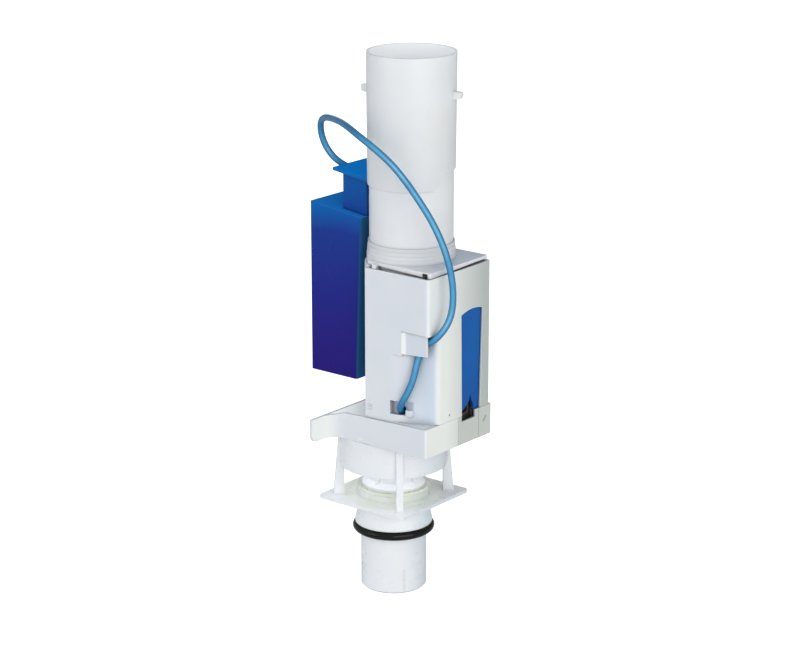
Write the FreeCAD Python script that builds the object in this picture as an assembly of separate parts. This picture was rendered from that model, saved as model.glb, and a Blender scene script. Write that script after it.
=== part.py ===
import FreeCAD, Part
import math
import os

# Pneumatic flush valve with a telescopic overflow tube, for a concealed cistern.
# Millimetres. Origin: the outlet spigot's axis at the underside of the seat plate. +Z is up,
# +X points to the face with the volume slider and -Y to the face with the hose hood.

# ---- outlet, seat plate and inlet cage
SPIGOT_R = 22.5
SPIGOT_BORE_R = 20.3
SPIGOT_BOTTOM = -64.4
SPIGOT_EDGE = 1.5
NECK_R = 23.0
CONE_RIM_R = 26.5
CONE_RIM_Z = -17.5
O_RING_Z = -20.9
O_RING_SECTION_R = 2.95
O_RING_R = 25.2
O_RING_SEAT_R = 22.2
O_RING_SEAT_END = -24.2
PLATE_HALF = 36.7
PLATE_T = 2.5
PLATE_CORNER_R = 3.0
UNDERCUT_R = 24.2
UNDERCUT_DEPTH = 0.6
DRUM_R = 36.4
DRUM_BORE_R = 34.0
DRUM_BOTTOM = 24.5
DRUM_TOP = 47.5
GUSSET_T = 4.5
GUSSET_FOOT_R = 41.5
GUSSET_HEAD_R = 37.5
SEAT_CREST_R = 23.4
SEAT_TOP = 7.5

# ---- bayonet between drum and casing
TWIST_DEG = 18.0
LUG_COUNT = 3
LUG_ARC_DEG = 16.0
LUG_R = 34.9
LUG_Z = (41.3, 43.9)
TRACK_R = 35.15
TRACK_Z = (41.0, 44.2)
TRACK_PLAY_DEG = 1.0
PLUG_R = 33.7
PLUG_BORE_R = 31.7

# ---- overflow tube
TUBE_X = 15.3
TUBE_R = 28.0
TUBE_BORE_R = 26.0
TUBE_FOOT_R = 26.9
TUBE_TOP = 275.0
SLEEVE_BOTTOM = 222.4
SLEEVE_TOP = 310.1
SLEEVE_R_LOW = 29.2
SLEEVE_R_TOP = 29.8
SLEEVE_BORE_R = 28.15
SLEEVE_NOTCH_Z = 233.0
SLEEVE_RAMP_Y = (-10.5, -2.0)
SLEEVE_LUG_Z = 283.5
SLEEVE_LUG_R = 35.6

# ---- valve stem and disc
STEM_R = 12.8
STEM_BORE_R = 11.3
STEM_BOTTOM = 13.0
FUNNEL_Z = (120.0, 158.0)
SOCKET_R = 28.2
SOCKET_BORE_R = 27.0
SOCKET_TOP = 166.0
DISC_R = 21.6
SEAL_R = 24.8
SEAL_T = 2.0
SEAT_GAP = 0.02
VALVE_LIFT = 12.0

# ---- casing
CASE_X = (3.3, 56.1)
CASE_Y = 34.0
CASE_TOP = 169.5
CASE_FLOOR = 50.0
CASE_WALL = 2.0
BULGE_R = 31.0
BAND_TOP = 68.0
BAND_FRONT = 36.0
BAND_BOTTOM = 48.0
BAND_WALL = 2.2
TAB_X = -25.4
TAB_END = -58.0
FLARE_R = 12.0
STEP_X = 53.7
RECESS_X = 23.0
RECESS_FLOOR_Y = -24.2
RECESS_Z = (68.0, 131.0)
RECESS_LIP_Z = 114.3
HOOD_X = (33.9, 54.4)
HOOD_SLOPE = 3.4
HOOD_INSET = 1.2
HOOD_T = 1.4
HOOD_Z = (115.8, 131.3)
HOOD_BOTTOM_RISE = 1.4
ELBOW_WINDOW_X = (24.4, 35.4)
ELBOW_WINDOW_Z = (72.8, 82.3)
ELBOW_WINDOW_EAR = (40.0, 77.2)
ELBOW_POCKET_Y = (-28.4, -27.2)

# ---- top plate and its collar
TOP_PLATE_GAP = 2.0
TOP_PLATE_T = 2.0
TOP_PLATE_Y = 30.8
COLLAR_STEPS = ((29.7, 4.6), (29.4, 7.3), (29.15, 10.0), (28.9, 12.7))
COLLAR_BORE_R = 28.35

# ---- slider window and slider
WINDOW_Y_TOP = (1.8, 24.8)
WINDOW_Y_LOW = (3.2, 22.4)
WINDOW_TOP = 138.0
SLIDER_X = (52.8, 54.8)
SLIDER_Y = (0.3, 26.3)
SLIDER_Z = (70.3, 143.0)
NOTCH_TIP = (13.9, 81.0)
COVER_Y = (-0.9, 21.4)
COVER_POST_Y = 3.0
COVER_STEP_Y = 17.5

# ---- pneumatic lift
BELLOWS_X = 33.0
BELLOWS_R = 12.6
BELLOWS_Z = (52.05, 76.0)
CUP_R = 16.0
CUP_BORE_R = 14.6
LEVER_PIVOT = (45.0, 88.0)
LEVER_T = 4.0
PIN_R = 1.5
LEVER_REST_DEG = -math.degrees(math.atan2(VALVE_LIFT / 2, LEVER_PIVOT[0]))
LIFT_GAP = 0.15
FORK_Y = (13.6, 16.6)
ELBOW_FOOT = (28.2, -19.0)
ELBOW_Z = 71.0
ELBOW_AIM = (0.19, -0.885, 0.413)

# ---- float
FLOAT_X = (-60.5, -16.0)
FLOAT_FOOT_X = -20.0
FLOAT_Y = (-15.0, 24.0)
FLOAT_BOTTOM = 83.0
FLOAT_TOP_LEFT = 201.4
FLOAT_TOP_RIGHT = 195.9
FLOAT_WALL = 2.0
RAIL_Z = (106.0, 165.0)
CATCH_Z = (203.0, 209.0)
CAP_NECK_X = (-37.1, -17.0)
CAP_X = (-42.6, -8.0)
CAP_Y = (-12.0, 23.0)
CAP_Z = 226.6
CAP_T = 2.0
CAP_SLOPE = 0.13

# ---- air hose
HOSE_R = 2.25
HOSE_BORE_R = 1.4
HOSE_END_LENGTH = 10.0
TAIL_X = -34.5
TAIL_Y = 32.0

AXIS_X = FreeCAD.Vector(1, 0, 0)
AXIS_Y = FreeCAD.Vector(0, 1, 0)
AXIS_Z = FreeCAD.Vector(0, 0, 1)


# ---------------------------------------------------------------- helpers
def vec(x, y, z):
    return FreeCAD.Vector(x, y, z)


def box(x, y, z):
    """A block between the two values of each pair."""
    return Part.makeBox(x[1] - x[0], y[1] - y[0], z[1] - z[0], vec(x[0], y[0], z[0]))


def cylinder(radius, z, x=0.0, y=0.0):
    return Part.makeCylinder(radius, z[1] - z[0], vec(x, y, z[0]))


def tube(radius, bore, z, x=0.0, y=0.0):
    return cylinder(radius, z, x, y).cut(cylinder(bore, z, x, y))


def rod_along_y(radius, y, x, z):
    return Part.makeCylinder(radius, y[1] - y[0], vec(x, y[0], z), AXIS_Y)


def revolve(profile, x=0.0, y=0.0):
    """A turned solid from (radius, height) points."""
    points = [vec(r, 0, z) for r, z in profile]
    wire = Part.makePolygon(points + points[:1])
    solid = Part.Face(wire).revolve(vec(0, 0, 0), AXIS_Z, 360)
    solid.translate(vec(x, y, 0))
    return solid


def prism(points, direction):
    """A closed outline of 3-D points, pushed along a direction."""
    wire = Part.makePolygon(points + points[:1])
    return Part.Face(wire).extrude(direction)


def prism_xy(points, z):
    return prism([vec(x, y, z[0]) for x, y in points], vec(0, 0, z[1] - z[0]))


def prism_xz(points, y):
    return prism([vec(x, y[0], z) for x, z in points], vec(0, y[1] - y[0], 0))


def prism_yz(points, x):
    return prism([vec(x[0], y, z) for y, z in points], vec(x[1] - x[0], 0, 0))


def sector(radius, z, start_deg, arc_deg):
    """A pie slice about the spigot axis."""
    slice_solid = Part.makeCylinder(radius, z[1] - z[0], vec(0, 0, z[0]), AXIS_Z, arc_deg)
    slice_solid.rotate(vec(0, 0, 0), AXIS_Z, start_deg)
    return slice_solid


def around(shape, count, start_deg=0.0, x=0.0, y=0.0):
    """Copies of a shape evenly spaced about a vertical axis."""
    copies = []
    for i in range(count):
        copy = shape.copy()
        copy.rotate(vec(x, y, 0), AXIS_Z, start_deg + 360.0 * i / count)
        copies.append(copy)
    return copies


def fillet_where(shape, radius, test):
    """Rounds the edges that pass the test."""
    edges = [e for e in shape.Edges if test(e)]
    return shape.makeFillet(radius, edges)


def is_vertical(edge):
    low = edge.BoundBox
    return low.ZLength > 1.0 and low.XLength < 0.01 and low.YLength < 0.01


def fuse_all(first, others):
    shape = first
    for other in others:
        shape = shape.fuse(other)
    return shape.removeSplitter()


def export(name, shape):
    shape.exportStep("parts/" + name + ".step")


# ---------------------------------------------------------------- base
def seat_plate():
    plate = box((-PLATE_HALF, PLATE_HALF), (-PLATE_HALF, PLATE_HALF), (0, PLATE_T))
    plate = fillet_where(plate, PLATE_CORNER_R, is_vertical)
    undercut = tube(UNDERCUT_R, NECK_R, (0, UNDERCUT_DEPTH))
    return plate.cut(undercut)


def spigot():
    """Neck cone, O-ring shoulder and the straight outlet spigot, as one turned body."""
    edge_r = SPIGOT_R - SPIGOT_EDGE
    bottom = SPIGOT_BOTTOM
    body = revolve(
        [
            (0, PLATE_T),
            (NECK_R, PLATE_T),
            (NECK_R, 0),
            (CONE_RIM_R, CONE_RIM_Z + 1.5),
            (CONE_RIM_R, CONE_RIM_Z),
            (O_RING_SEAT_R, CONE_RIM_Z),
            (O_RING_SEAT_R, O_RING_SEAT_END),
            (SPIGOT_R, O_RING_SEAT_END),
            (SPIGOT_R, bottom + SPIGOT_EDGE),
            (edge_r, bottom),
            (0, bottom),
        ]
    )
    groove_z = (bottom + SPIGOT_EDGE, bottom + 18.0)
    grooves = around(box((SPIGOT_R - 0.5, SPIGOT_R + 1), (-0.9, 0.9), groove_z), 4, -33)
    for groove in grooves:
        body = body.cut(groove)
    return body


def seat_ring():
    crest = SEAT_CREST_R
    return revolve(
        [
            (SPIGOT_BORE_R, 0.5),
            (crest - 1.0, 4.5),
            (crest - 1.0, SEAT_TOP - 0.5),
            (crest - 0.5, SEAT_TOP),
            (crest + 0.5, SEAT_TOP),
            (crest + 1.0, SEAT_TOP - 0.5),
            (crest + 1.6, 0.5),
        ]
    )


def gusset():
    """One radial rib from the plate's corner up the outside of the drum."""
    points = [
        vec(DRUM_BORE_R, -GUSSET_T / 2, 1.0),
        vec(GUSSET_FOOT_R, -GUSSET_T / 2, 1.0),
        vec(GUSSET_HEAD_R, -GUSSET_T / 2, DRUM_TOP - 1.0),
        vec(DRUM_BORE_R, -GUSSET_T / 2, DRUM_TOP - 1.0),
    ]
    return prism(points, vec(0, GUSSET_T, 0))


def bayonet_tracks():
    """The grooves inside the drum in which the casing's lugs turn, with their entries."""
    play = TRACK_PLAY_DEG
    tracks = []
    for i in range(LUG_COUNT):
        start = 360.0 * i / LUG_COUNT - play
        arc = LUG_ARC_DEG + TWIST_DEG + 2 * play
        tracks.append(sector(TRACK_R, TRACK_Z, start, arc))
        entry_z = (TRACK_Z[0], DRUM_TOP + 1)
        entry_arc = LUG_ARC_DEG + 2 * play
        tracks.append(sector(TRACK_R, entry_z, start + TWIST_DEG, entry_arc))
    return tracks


def valve_base():
    drum = tube(DRUM_R, 20.0, (DRUM_BOTTOM, DRUM_TOP))
    gussets = around(gusset(), 4, 45)
    body = fuse_all(seat_plate(), [spigot(), seat_ring(), drum] + gussets)
    body = body.cut(cylinder(DRUM_BORE_R, (DRUM_BOTTOM - 1, DRUM_TOP + 1)))
    body = body.cut(cylinder(SPIGOT_BORE_R, (SPIGOT_BOTTOM - 1, PLATE_T + 1)))
    for track in bayonet_tracks():
        body = body.cut(track)
    return body


def outlet_o_ring():
    return Part.makeTorus(O_RING_R, O_RING_SECTION_R, vec(0, 0, O_RING_Z))


# ---------------------------------------------------------------- casing: skirt
def skirt_outline():
    """The band's outer edge in plan, with the hollow curve that runs out into the tab."""
    tab_face = TAB_X + BAND_WALL
    flare_x = tab_face + FLARE_R
    flare_y = -BAND_FRONT - FLARE_R
    cos45 = math.cos(math.radians(45))
    back = BAND_FRONT
    a = vec(CASE_X[1], -BAND_FRONT, 0)
    b = vec(flare_x, -BAND_FRONT, 0)
    mid = vec(flare_x - FLARE_R * cos45, flare_y + FLARE_R * cos45, 0)
    c = vec(tab_face, flare_y, 0)
    corner_points = [
        c,
        vec(tab_face, TAB_END, 0),
        vec(TAB_X, TAB_END, 0),
        vec(TAB_X, back, 0),
        vec(CASE_X[1], back, 0),
        a,
    ]
    edges = [Part.LineSegment(a, b).toShape(), Part.Arc(b, mid, c).toShape()]
    for p, q in zip(corner_points, corner_points[1:]):
        edges.append(Part.LineSegment(p, q).toShape())
    return Part.Face(Part.Wire(edges))


def skirt_void():
    """The hollow inside the band, in plan."""
    inner_front = -CASE_Y - 0.1
    tab_face = TAB_X + BAND_WALL
    flare_x = tab_face + FLARE_R
    flare_y = -BAND_FRONT - FLARE_R
    radius = inner_front - flare_y
    end_y = flare_y + math.sqrt(radius**2 - FLARE_R**2)
    half_angle = math.radians(112)
    inner_x = CASE_X[1] - BAND_WALL
    a = vec(inner_x, inner_front, 0)
    b = vec(flare_x, inner_front, 0)
    mid_x = flare_x + radius * math.cos(half_angle)
    mid_y = flare_y + radius * math.sin(half_angle)
    mid = vec(mid_x, mid_y, 0)
    c = vec(tab_face, end_y, 0)
    corner_points = [c, vec(tab_face, -inner_front, 0), vec(inner_x, -inner_front, 0), a]
    edges = [Part.LineSegment(a, b).toShape(), Part.Arc(b, mid, c).toShape()]
    for p, q in zip(corner_points, corner_points[1:]):
        edges.append(Part.LineSegment(p, q).toShape())
    return Part.Face(Part.Wire(edges))


def skirt_top_trim():
    """What is cut off above the band's sloping top edge."""
    high = BAND_TOP + 10
    line = [
        (CASE_X[1] + 5, BAND_TOP),
        (-13.0, BAND_TOP - 2.2),
        (-19.0, BAND_TOP - 3.6),
        (TAB_X - 15, BAND_TOP - 4.6),
        (TAB_X - 15, high),
        (CASE_X[1] + 5, high),
    ]
    return prism_xz(line, (TAB_END - 5, BAND_FRONT + 5))


def bayonet_plug():
    """The ring that drops into the drum, with its lugs."""
    ring = cylinder(PLUG_R, (41.0, BAND_BOTTOM + 0.5))
    lugs = []
    for i in range(LUG_COUNT):
        lugs.append(sector(LUG_R, LUG_Z, 360.0 * i / LUG_COUNT, LUG_ARC_DEG))
    ring = fuse_all(ring, lugs)
    return ring.cut(cylinder(PLUG_BORE_R, (40.0, BAND_BOTTOM)))


def base_skirt():
    floor_z = (BAND_BOTTOM, CASE_FLOOR)
    band = skirt_outline().extrude(vec(0, 0, BAND_TOP - BAND_BOTTOM))
    band.translate(vec(0, 0, BAND_BOTTOM))
    void = skirt_void().extrude(vec(0, 0, 30))
    void.translate(vec(0, 0, CASE_FLOOR))
    body = band.cut(void).cut(skirt_top_trim())
    guide = tube(STEM_R + 2.4, STEM_R + 0.2, (44.0, CASE_FLOOR))
    body = fuse_all(body, [cylinder(DRUM_R, floor_z), bayonet_plug(), guide])
    gap_z = (BAND_BOTTOM - 1, BAND_TOP + 1)
    right_gap = box((CASE_X[1] - BAND_WALL, 60), (COVER_Y[0] - 0.1, 40), gap_z)
    corner_gap = box((46.0, 60), (CASE_Y + 0.1, 40), gap_z)
    body = body.cut(right_gap).cut(corner_gap)
    body = body.cut(cylinder(STEM_R + 0.2, (40, CASE_FLOOR + 1)))
    for drain in around(cylinder(3.2, (40, CASE_FLOOR + 1), 23.0), 12):
        if drain.BoundBox.XMax < 4.0:
            body = body.cut(drain)
    round_r = 5.0
    corner_y = (TAB_END - 1, TAB_END + round_r)
    end_corner = box((TAB_X - 1, TAB_X + 4), corner_y, (BAND_BOTTOM - 1, BAND_BOTTOM + round_r))
    round_centre = vec(TAB_X - 1, TAB_END + round_r, BAND_BOTTOM + round_r)
    end_round = Part.makeCylinder(round_r, 6.0, round_centre, AXIS_X)
    body = body.cut(end_corner.cut(end_round))

    def is_front_corner(edge):
        bounds = edge.BoundBox
        at_right = abs(bounds.XMin - CASE_X[1]) < 0.1
        return is_vertical(edge) and at_right and abs(bounds.YMin + BAND_FRONT) < 0.1

    return fillet_where(body, 1.7, is_front_corner)


# ---------------------------------------------------------------- casing: shell
def case_block(inset, z):
    """The casing's plan shape, a rectangle joined to the bulge round the tube, moved in by an inset."""
    rectangle = box((CASE_X[0] + inset, CASE_X[1] - inset), (-CASE_Y + inset, CASE_Y - inset), z)
    if inset == 0:
        rectangle = fillet_where(
            rectangle,
            2.6,
            lambda e: is_vertical(e) and e.BoundBox.XMin > CASE_X[1] - 1,
        )
    return rectangle.fuse(cylinder(BULGE_R - inset, z, TUBE_X)).removeSplitter()


def recess_volume(inset, x_start, z):
    """The hose recess: shallow at the left, deep at the right, rolled over to the right face."""
    front = -CASE_Y - 3
    floor_y = RECESS_FLOOR_Y + inset
    edge_y = -CASE_Y + inset
    right = CASE_X[1] + 2
    knots = [
        vec(x_start, edge_y - 0.01, z[0]),
        vec(x_start + 11, edge_y + 2.6, z[0]),
        vec(x_start + 21, floor_y - 2.2, z[0]),
        vec(CASE_X[1] - 7, floor_y - 0.3, z[0]),
        vec(CASE_X[1] - 2.2, floor_y + 1.2, z[0]),
        vec(CASE_X[1] + 0.2, floor_y + 5.0, z[0]),
    ]
    curve = Part.BSplineCurve()
    curve.interpolate(knots)
    last = vec(right, floor_y + 9.0, z[0])
    corners = [knots[-1], last, vec(right, front, z[0]), vec(x_start, front, z[0]), knots[0]]
    edges = [curve.toShape()]
    for p, q in zip(corners, corners[1:]):
        edges.append(Part.LineSegment(p, q).toShape())
    return Part.Face(Part.Wire(edges)).extrude(vec(0, 0, z[1] - z[0]))


def recess_cut():
    full = recess_volume(0.0, RECESS_X, (RECESS_Z[0], RECESS_LIP_Z))
    upper = recess_volume(0.0, RECESS_X, (RECESS_LIP_Z, RECESS_Z[1]))
    flush = box((RECESS_X - 5, HOOD_X[0] + 0.1), (-60, 0), (RECESS_LIP_Z, 200))
    return full.fuse(upper.cut(flush)).removeSplitter()


def hose_hood():
    """The bridge that holds the hose back in its recess: set in, sloped at the left, open below."""
    left, right = HOOD_X
    front = -CASE_Y
    face = front + HOOD_INSET
    back = face + HOOD_T
    plan = [
        (left - 1.0, front + 1.9),
        (left - 1.0, front),
        (left, front),
        (left + HOOD_SLOPE, face),
        (right, face),
        (right, back),
        (left + HOOD_SLOPE - 1.0, back),
    ]
    sides = [
        (left - 1.5, HOOD_Z[0]),
        (left + HOOD_SLOPE, HOOD_Z[0]),
        (right + 0.5, HOOD_Z[0] + HOOD_BOTTOM_RISE),
        (right + 0.5, HOOD_Z[1]),
        (left - 1.5, HOOD_Z[1]),
    ]
    return prism_xy(plan, HOOD_Z).common(prism_xz(sides, (front - 1, back + 1)))


def elbow_pocket():
    """Tray behind the hose window, closed at its back but for the hole the hose passes."""
    wall = 1.0
    x = (ELBOW_WINDOW_X[0], ELBOW_WINDOW_EAR[0])
    outside = box(
        (x[0] - wall, x[1] + wall),
        (-32.0, ELBOW_POCKET_Y[1]),
        (ELBOW_WINDOW_Z[0] - wall, ELBOW_WINDOW_Z[1] + wall),
    )
    inside = box(x, (-40.0, ELBOW_POCKET_Y[0]), ELBOW_WINDOW_Z)
    return outside.common(case_block(1.0, (CASE_FLOOR, CASE_TOP))).cut(inside)


def elbow_window():
    """The opening in the recess's floor: a square with an ear at its upper right."""
    y = (-40.0, ELBOW_POCKET_Y[0])
    ear_x = (ELBOW_WINDOW_X[1] - 0.4, ELBOW_WINDOW_EAR[0])
    ear = box(ear_x, y, (ELBOW_WINDOW_EAR[1], ELBOW_WINDOW_Z[1]))
    return box(ELBOW_WINDOW_X, y, ELBOW_WINDOW_Z).fuse(ear)


def slider_window():
    """Opening in the right face: slightly narrower at the foot, arched at the top."""
    low, high = WINDOW_Y_LOW, WINDOW_Y_TOP
    x = CASE_X[1] - 5
    left_low = vec(x, low[0], 60.0)
    left_top = vec(x, high[0], WINDOW_TOP)
    crown = vec(x, (high[0] + high[1]) / 2 - 1.0, WINDOW_TOP + 2.4)
    right_top = vec(x, high[1], WINDOW_TOP + 0.8)
    right_low = vec(x, low[1], 60.0)
    edges = [
        Part.LineSegment(left_low, left_top).toShape(),
        Part.Arc(left_top, crown, right_top).toShape(),
        Part.LineSegment(right_top, right_low).toShape(),
        Part.LineSegment(right_low, left_low).toShape(),
    ]
    return Part.Face(Part.Wire(edges)).extrude(vec(10, 0, 0))


def slider_rails():
    """Two inward L-shaped rails that keep the slider against the right wall."""
    z = (70.0, 156.0)
    back = SLIDER_X[0] - 1.6
    left_web = box((back, CASE_X[1] - 1), (-1.4, SLIDER_Y[0] - 0.2), z)
    left_lip = box((back, SLIDER_X[0] - 0.2), (-1.4, SLIDER_Y[0] + 1.4), z)
    right_web = box((back, CASE_X[1] - 1), (SLIDER_Y[1] + 0.2, SLIDER_Y[1] + 1.7), z)
    right_lip = box((back, SLIDER_X[0] - 0.2), (SLIDER_Y[1] - 1.4, SLIDER_Y[1] + 1.7), z)
    return [left_web, left_lip, right_web, right_lip]


def housing():
    outer = case_block(0.0, (CASE_FLOOR, CASE_TOP))
    cavity = case_block(CASE_WALL, (CASE_FLOOR - 1, CASE_TOP + 1))
    pocket = recess_volume(CASE_WALL, RECESS_X - 2, (RECESS_Z[0] - 2, RECESS_Z[1] + 2))
    tray = elbow_pocket().cut(recess_cut())
    shell = outer.cut(cavity.cut(pocket)).cut(recess_cut())
    shell = fuse_all(shell, [hose_hood(), tray])
    # pocket in the wall that takes the slider's thickness
    slot_x = (SLIDER_X[0] - 0.2, SLIDER_X[1] + 0.2)
    slot_y = (SLIDER_Y[0] - 0.2, SLIDER_Y[1] + 0.2)
    shell = shell.cut(box(slot_x, slot_y, (CASE_FLOOR - 1, 158.0)))
    shell = fuse_all(shell, slider_rails())
    # the foot stands inside the skirt
    shell = shell.cut(box((STEP_X, 60), (-40, 40), (CASE_FLOOR - 1, BAND_TOP)))
    shell = shell.cut(box((STEP_X, 60), (COVER_STEP_Y - 0.1, 40), (CASE_FLOOR - 1, 69.1)))
    shell = shell.cut(box((STEP_X - 5, 60), (-1.0, 28.0), (CASE_FLOOR - 1, BAND_TOP)))
    shell = shell.cut(slider_window()).cut(elbow_window())
    # the hose's hole through the back of the window's tray
    heart, direction = elbow_axis()
    shell = shell.cut(Part.makeCylinder(HOSE_R + 1.2, 16.0, heart + direction * 5.0, direction))
    # catch block beside the window, and three small ridges at the front's lower left
    catch = box((35.6, 39.8), (-31.5, -28.0), (72.9, 76.9))
    ridges = [box((5.2, 9.0), (-CASE_Y - 0.3, -CASE_Y + 1), (z, z + 0.7)) for z in (72.0, 73.8, 75.6)]
    shell = fuse_all(shell, [catch] + ridges)
    # pin mark on the right face
    shell = shell.cut(Part.makeCylinder(0.7, 2.0, vec(CASE_X[1] - 0.7, -10.4, 72.3), AXIS_X))
    # service opening in the back
    return shell.cut(box((8.0, 51.0), (30, 36), (56.0, 160.0)))


def rear_cover():
    panel = box((8.2, 50.8), (CASE_Y - 2.0, CASE_Y), (56.2, 159.8))
    rib_y = (CASE_Y - 0.5, CASE_Y + 0.8)
    ribs = [box((12.0, 47.0), rib_y, (z, z + 1.6)) for z in (70, 88, 106, 124, 142)]
    grip = tube(6.0, 4.6, (0, 1.2))
    grip.rotate(vec(0, 0, 0), AXIS_X, -90)
    grip.translate(vec(29.5, CASE_Y - 0.2, 152.0))
    return fuse_all(panel, ribs + [grip])


def top_plate_lips(low):
    """Thin lips under the front and right edges: they narrow the gap towards the front corner."""
    front_x = (12.0, CASE_X[1] - 0.6)
    front = prism_xz(
        [(front_x[0], low), (front_x[1], low), (front_x[1], low - 1.7)],
        (-TOP_PLATE_Y, -TOP_PLATE_Y + 1.0),
    )
    right = prism_yz(
        [(-TOP_PLATE_Y, low), (TOP_PLATE_Y - 6.0, low), (-TOP_PLATE_Y, low - 1.7)],
        (CASE_X[1] - 1.6, CASE_X[1] - 0.6),
    )
    return [front, right]


def top_plate():
    """Plate over the casing with the stepped collar that guides the overflow tube."""
    low = CASE_TOP + TOP_PLATE_GAP
    top = low + TOP_PLATE_T
    half_y = TOP_PLATE_Y
    plate = box((CASE_X[0] - 0.5, CASE_X[1] - 0.4), (-half_y, half_y), (low, top))
    plate = fillet_where(plate, 1.0, is_vertical)
    rings = [cylinder(r, (CASE_TOP + 0.1, low + height), TUBE_X) for r, height in COLLAR_STEPS]
    clips = []
    for y in (-31.0, 31.0):
        outer_y = y + math.copysign(0.9, y)
        clips.append(box((8.6, 12.0), (y - 0.8, y + 0.8), (160.0, low + 1.0)))
        clips.append(box((8.6, 12.0), (outer_y - 1.4, outer_y + 1.4), (CASE_TOP + 0.1, low + 1.0)))
    for y in (-28.0, -12.0):
        clips.append(box((52.0, 53.8), (y, y + 6.0), (161.0, low + 1.0)))
    body = fuse_all(plate, rings + clips + top_plate_lips(low))
    # notch in the front lip, open to the dark inside of the casing
    notch_x = (48.7, 53.2)
    body = body.cut(box(notch_x, (-half_y - 1, -half_y + 9.0), (low - 3.0, low + 1.1)))
    return body.cut(cylinder(COLLAR_BORE_R, (150, 200), TUBE_X))


def lower_side_cover():
    outline = [
        (COVER_Y[0], BAND_BOTTOM),
        (COVER_Y[1], BAND_BOTTOM),
        (COVER_Y[1], 69.0),
        (COVER_STEP_Y, 69.0),
        (COVER_STEP_Y, 64.0),
        (COVER_POST_Y, 64.0),
        (COVER_POST_Y, BAND_TOP - 0.05),
        (COVER_Y[0], BAND_TOP - 0.05),
    ]
    face = prism_yz(outline, (SLIDER_X[1] + 0.15, CASE_X[1]))
    sill = box((CASE_X[1] - BAND_WALL + 0.1, CASE_X[1] - 0.5), COVER_Y, (BAND_BOTTOM, CASE_FLOOR))
    return fuse_all(face, [sill])


def side_latch():
    """The corner block with its slanted slot."""
    y = (21.5, 35.5)
    side = box((SLIDER_X[1] + 0.15, CASE_X[1] + 0.2), y, (BAND_BOTTOM, 69.0))
    back = box((46.1, CASE_X[1] + 0.2), (CASE_Y + 0.15, y[1]), (BAND_BOTTOM, 69.0))
    sill = box((CASE_X[1] - BAND_WALL + 0.1, CASE_X[1]), y, (BAND_BOTTOM, CASE_FLOOR))
    body = fuse_all(side, [back, sill])
    slot = box((CASE_X[1] - 0.8, 60), (-2.2, 2.2), (-0.7, 0.7))
    slot.rotate(vec(CASE_X[1], 0, 0), AXIS_X, 52)
    slot.translate(vec(0, 27.8, 60.0))
    body = body.cut(slot)

    def is_outer_corner(edge):
        return is_vertical(edge) and edge.BoundBox.XMin > CASE_X[1] and edge.BoundBox.YMin > 35

    return fillet_where(body, 1.2, is_outer_corner)


def volume_slider():
    """Blue plate with an arrow-shaped notch in its foot and a finger dimple at its head."""
    tip_y, tip_z = NOTCH_TIP
    outline = [
        (SLIDER_Y[0], SLIDER_Z[0]),
        (5.2, SLIDER_Z[0] + 0.6),
        (9.6, 73.4),
        (12.2, 76.0),
        (tip_y, tip_z),
        (15.0, 77.0),
        (COVER_STEP_Y, 72.5),
        (COVER_STEP_Y, 69.3),
        (SLIDER_Y[1], 69.3),
        (SLIDER_Y[1], SLIDER_Z[1]),
        (SLIDER_Y[0], SLIDER_Z[1]),
    ]
    plate = prism_yz(outline, SLIDER_X)
    dimple = Part.makeSphere(2.2, vec(SLIDER_X[1] + 1.5, 14.3, 134.0))
    return plate.cut(dimple)


# ---------------------------------------------------------------- pneumatic lift
def bellows_cup():
    floor_z = (CASE_FLOOR, CASE_FLOOR + 2.0)
    wall_z = (CASE_FLOOR, CASE_FLOOR + 6.0)
    body = cylinder(CUP_R, wall_z, BELLOWS_X).cut(
        cylinder(CUP_BORE_R, (floor_z[1], wall_z[1] + 1), BELLOWS_X)
    )
    port = cylinder(4.4, wall_z, ELBOW_FOOT[0], ELBOW_FOOT[1])
    bridge = box((ELBOW_FOOT[0] - 3, ELBOW_FOOT[0] + 3), (ELBOW_FOOT[1], -14.8), wall_z)
    body = fuse_all(body, [port, bridge])
    body = body.cut(cylinder(2.0, (CASE_FLOOR + 3, 60), ELBOW_FOOT[0], ELBOW_FOOT[1]))
    channel_x = (ELBOW_FOOT[0] - 1.2, ELBOW_FOOT[0] + 1.2)
    return body.cut(box(channel_x, (ELBOW_FOOT[1], -11.0), (CASE_FLOOR + 3.2, CASE_FLOOR + 5.0)))


def bellows():
    """Folded rubber bellows, clamped by its foot flange and closed at the top."""
    wall = 0.8
    folds = 5
    low = BELLOWS_Z[0] + 1.0
    pitch = (BELLOWS_Z[1] - wall - low) / folds
    outside = [(BELLOWS_R - 2.2, low)]
    for i in range(folds):
        outside.append((BELLOWS_R, low + pitch * (i + 0.5)))
        outside.append((BELLOWS_R - 2.2, low + pitch * (i + 1)))
    inside = [(r - wall, z) for r, z in reversed(outside)]
    profile = (
        [(CUP_BORE_R - 0.2, BELLOWS_Z[0]), (CUP_BORE_R - 0.2, low)]
        + outside
        + [(BELLOWS_R - 2.2, BELLOWS_Z[1]), (0, BELLOWS_Z[1]), (0, BELLOWS_Z[1] - wall)]
        + inside
        + [(BELLOWS_R - 2.2 - wall, BELLOWS_Z[0])]
    )
    return revolve(profile, BELLOWS_X)


def bellows_clamp_ring():
    z = (BELLOWS_Z[0] + 1.05, CASE_FLOOR + 6.0)
    return tube(CUP_BORE_R - 0.1, BELLOWS_R + 0.4, z, BELLOWS_X)


def lever_underside(x):
    """Height of the resting lever's lower face over a point on the X axis."""
    tilt = math.radians(-LEVER_REST_DEG)
    reach = LEVER_PIVOT[0] - x
    return LEVER_PIVOT[1] - reach * math.tan(tilt) - LEVER_T / 2 / math.cos(tilt)


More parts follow.
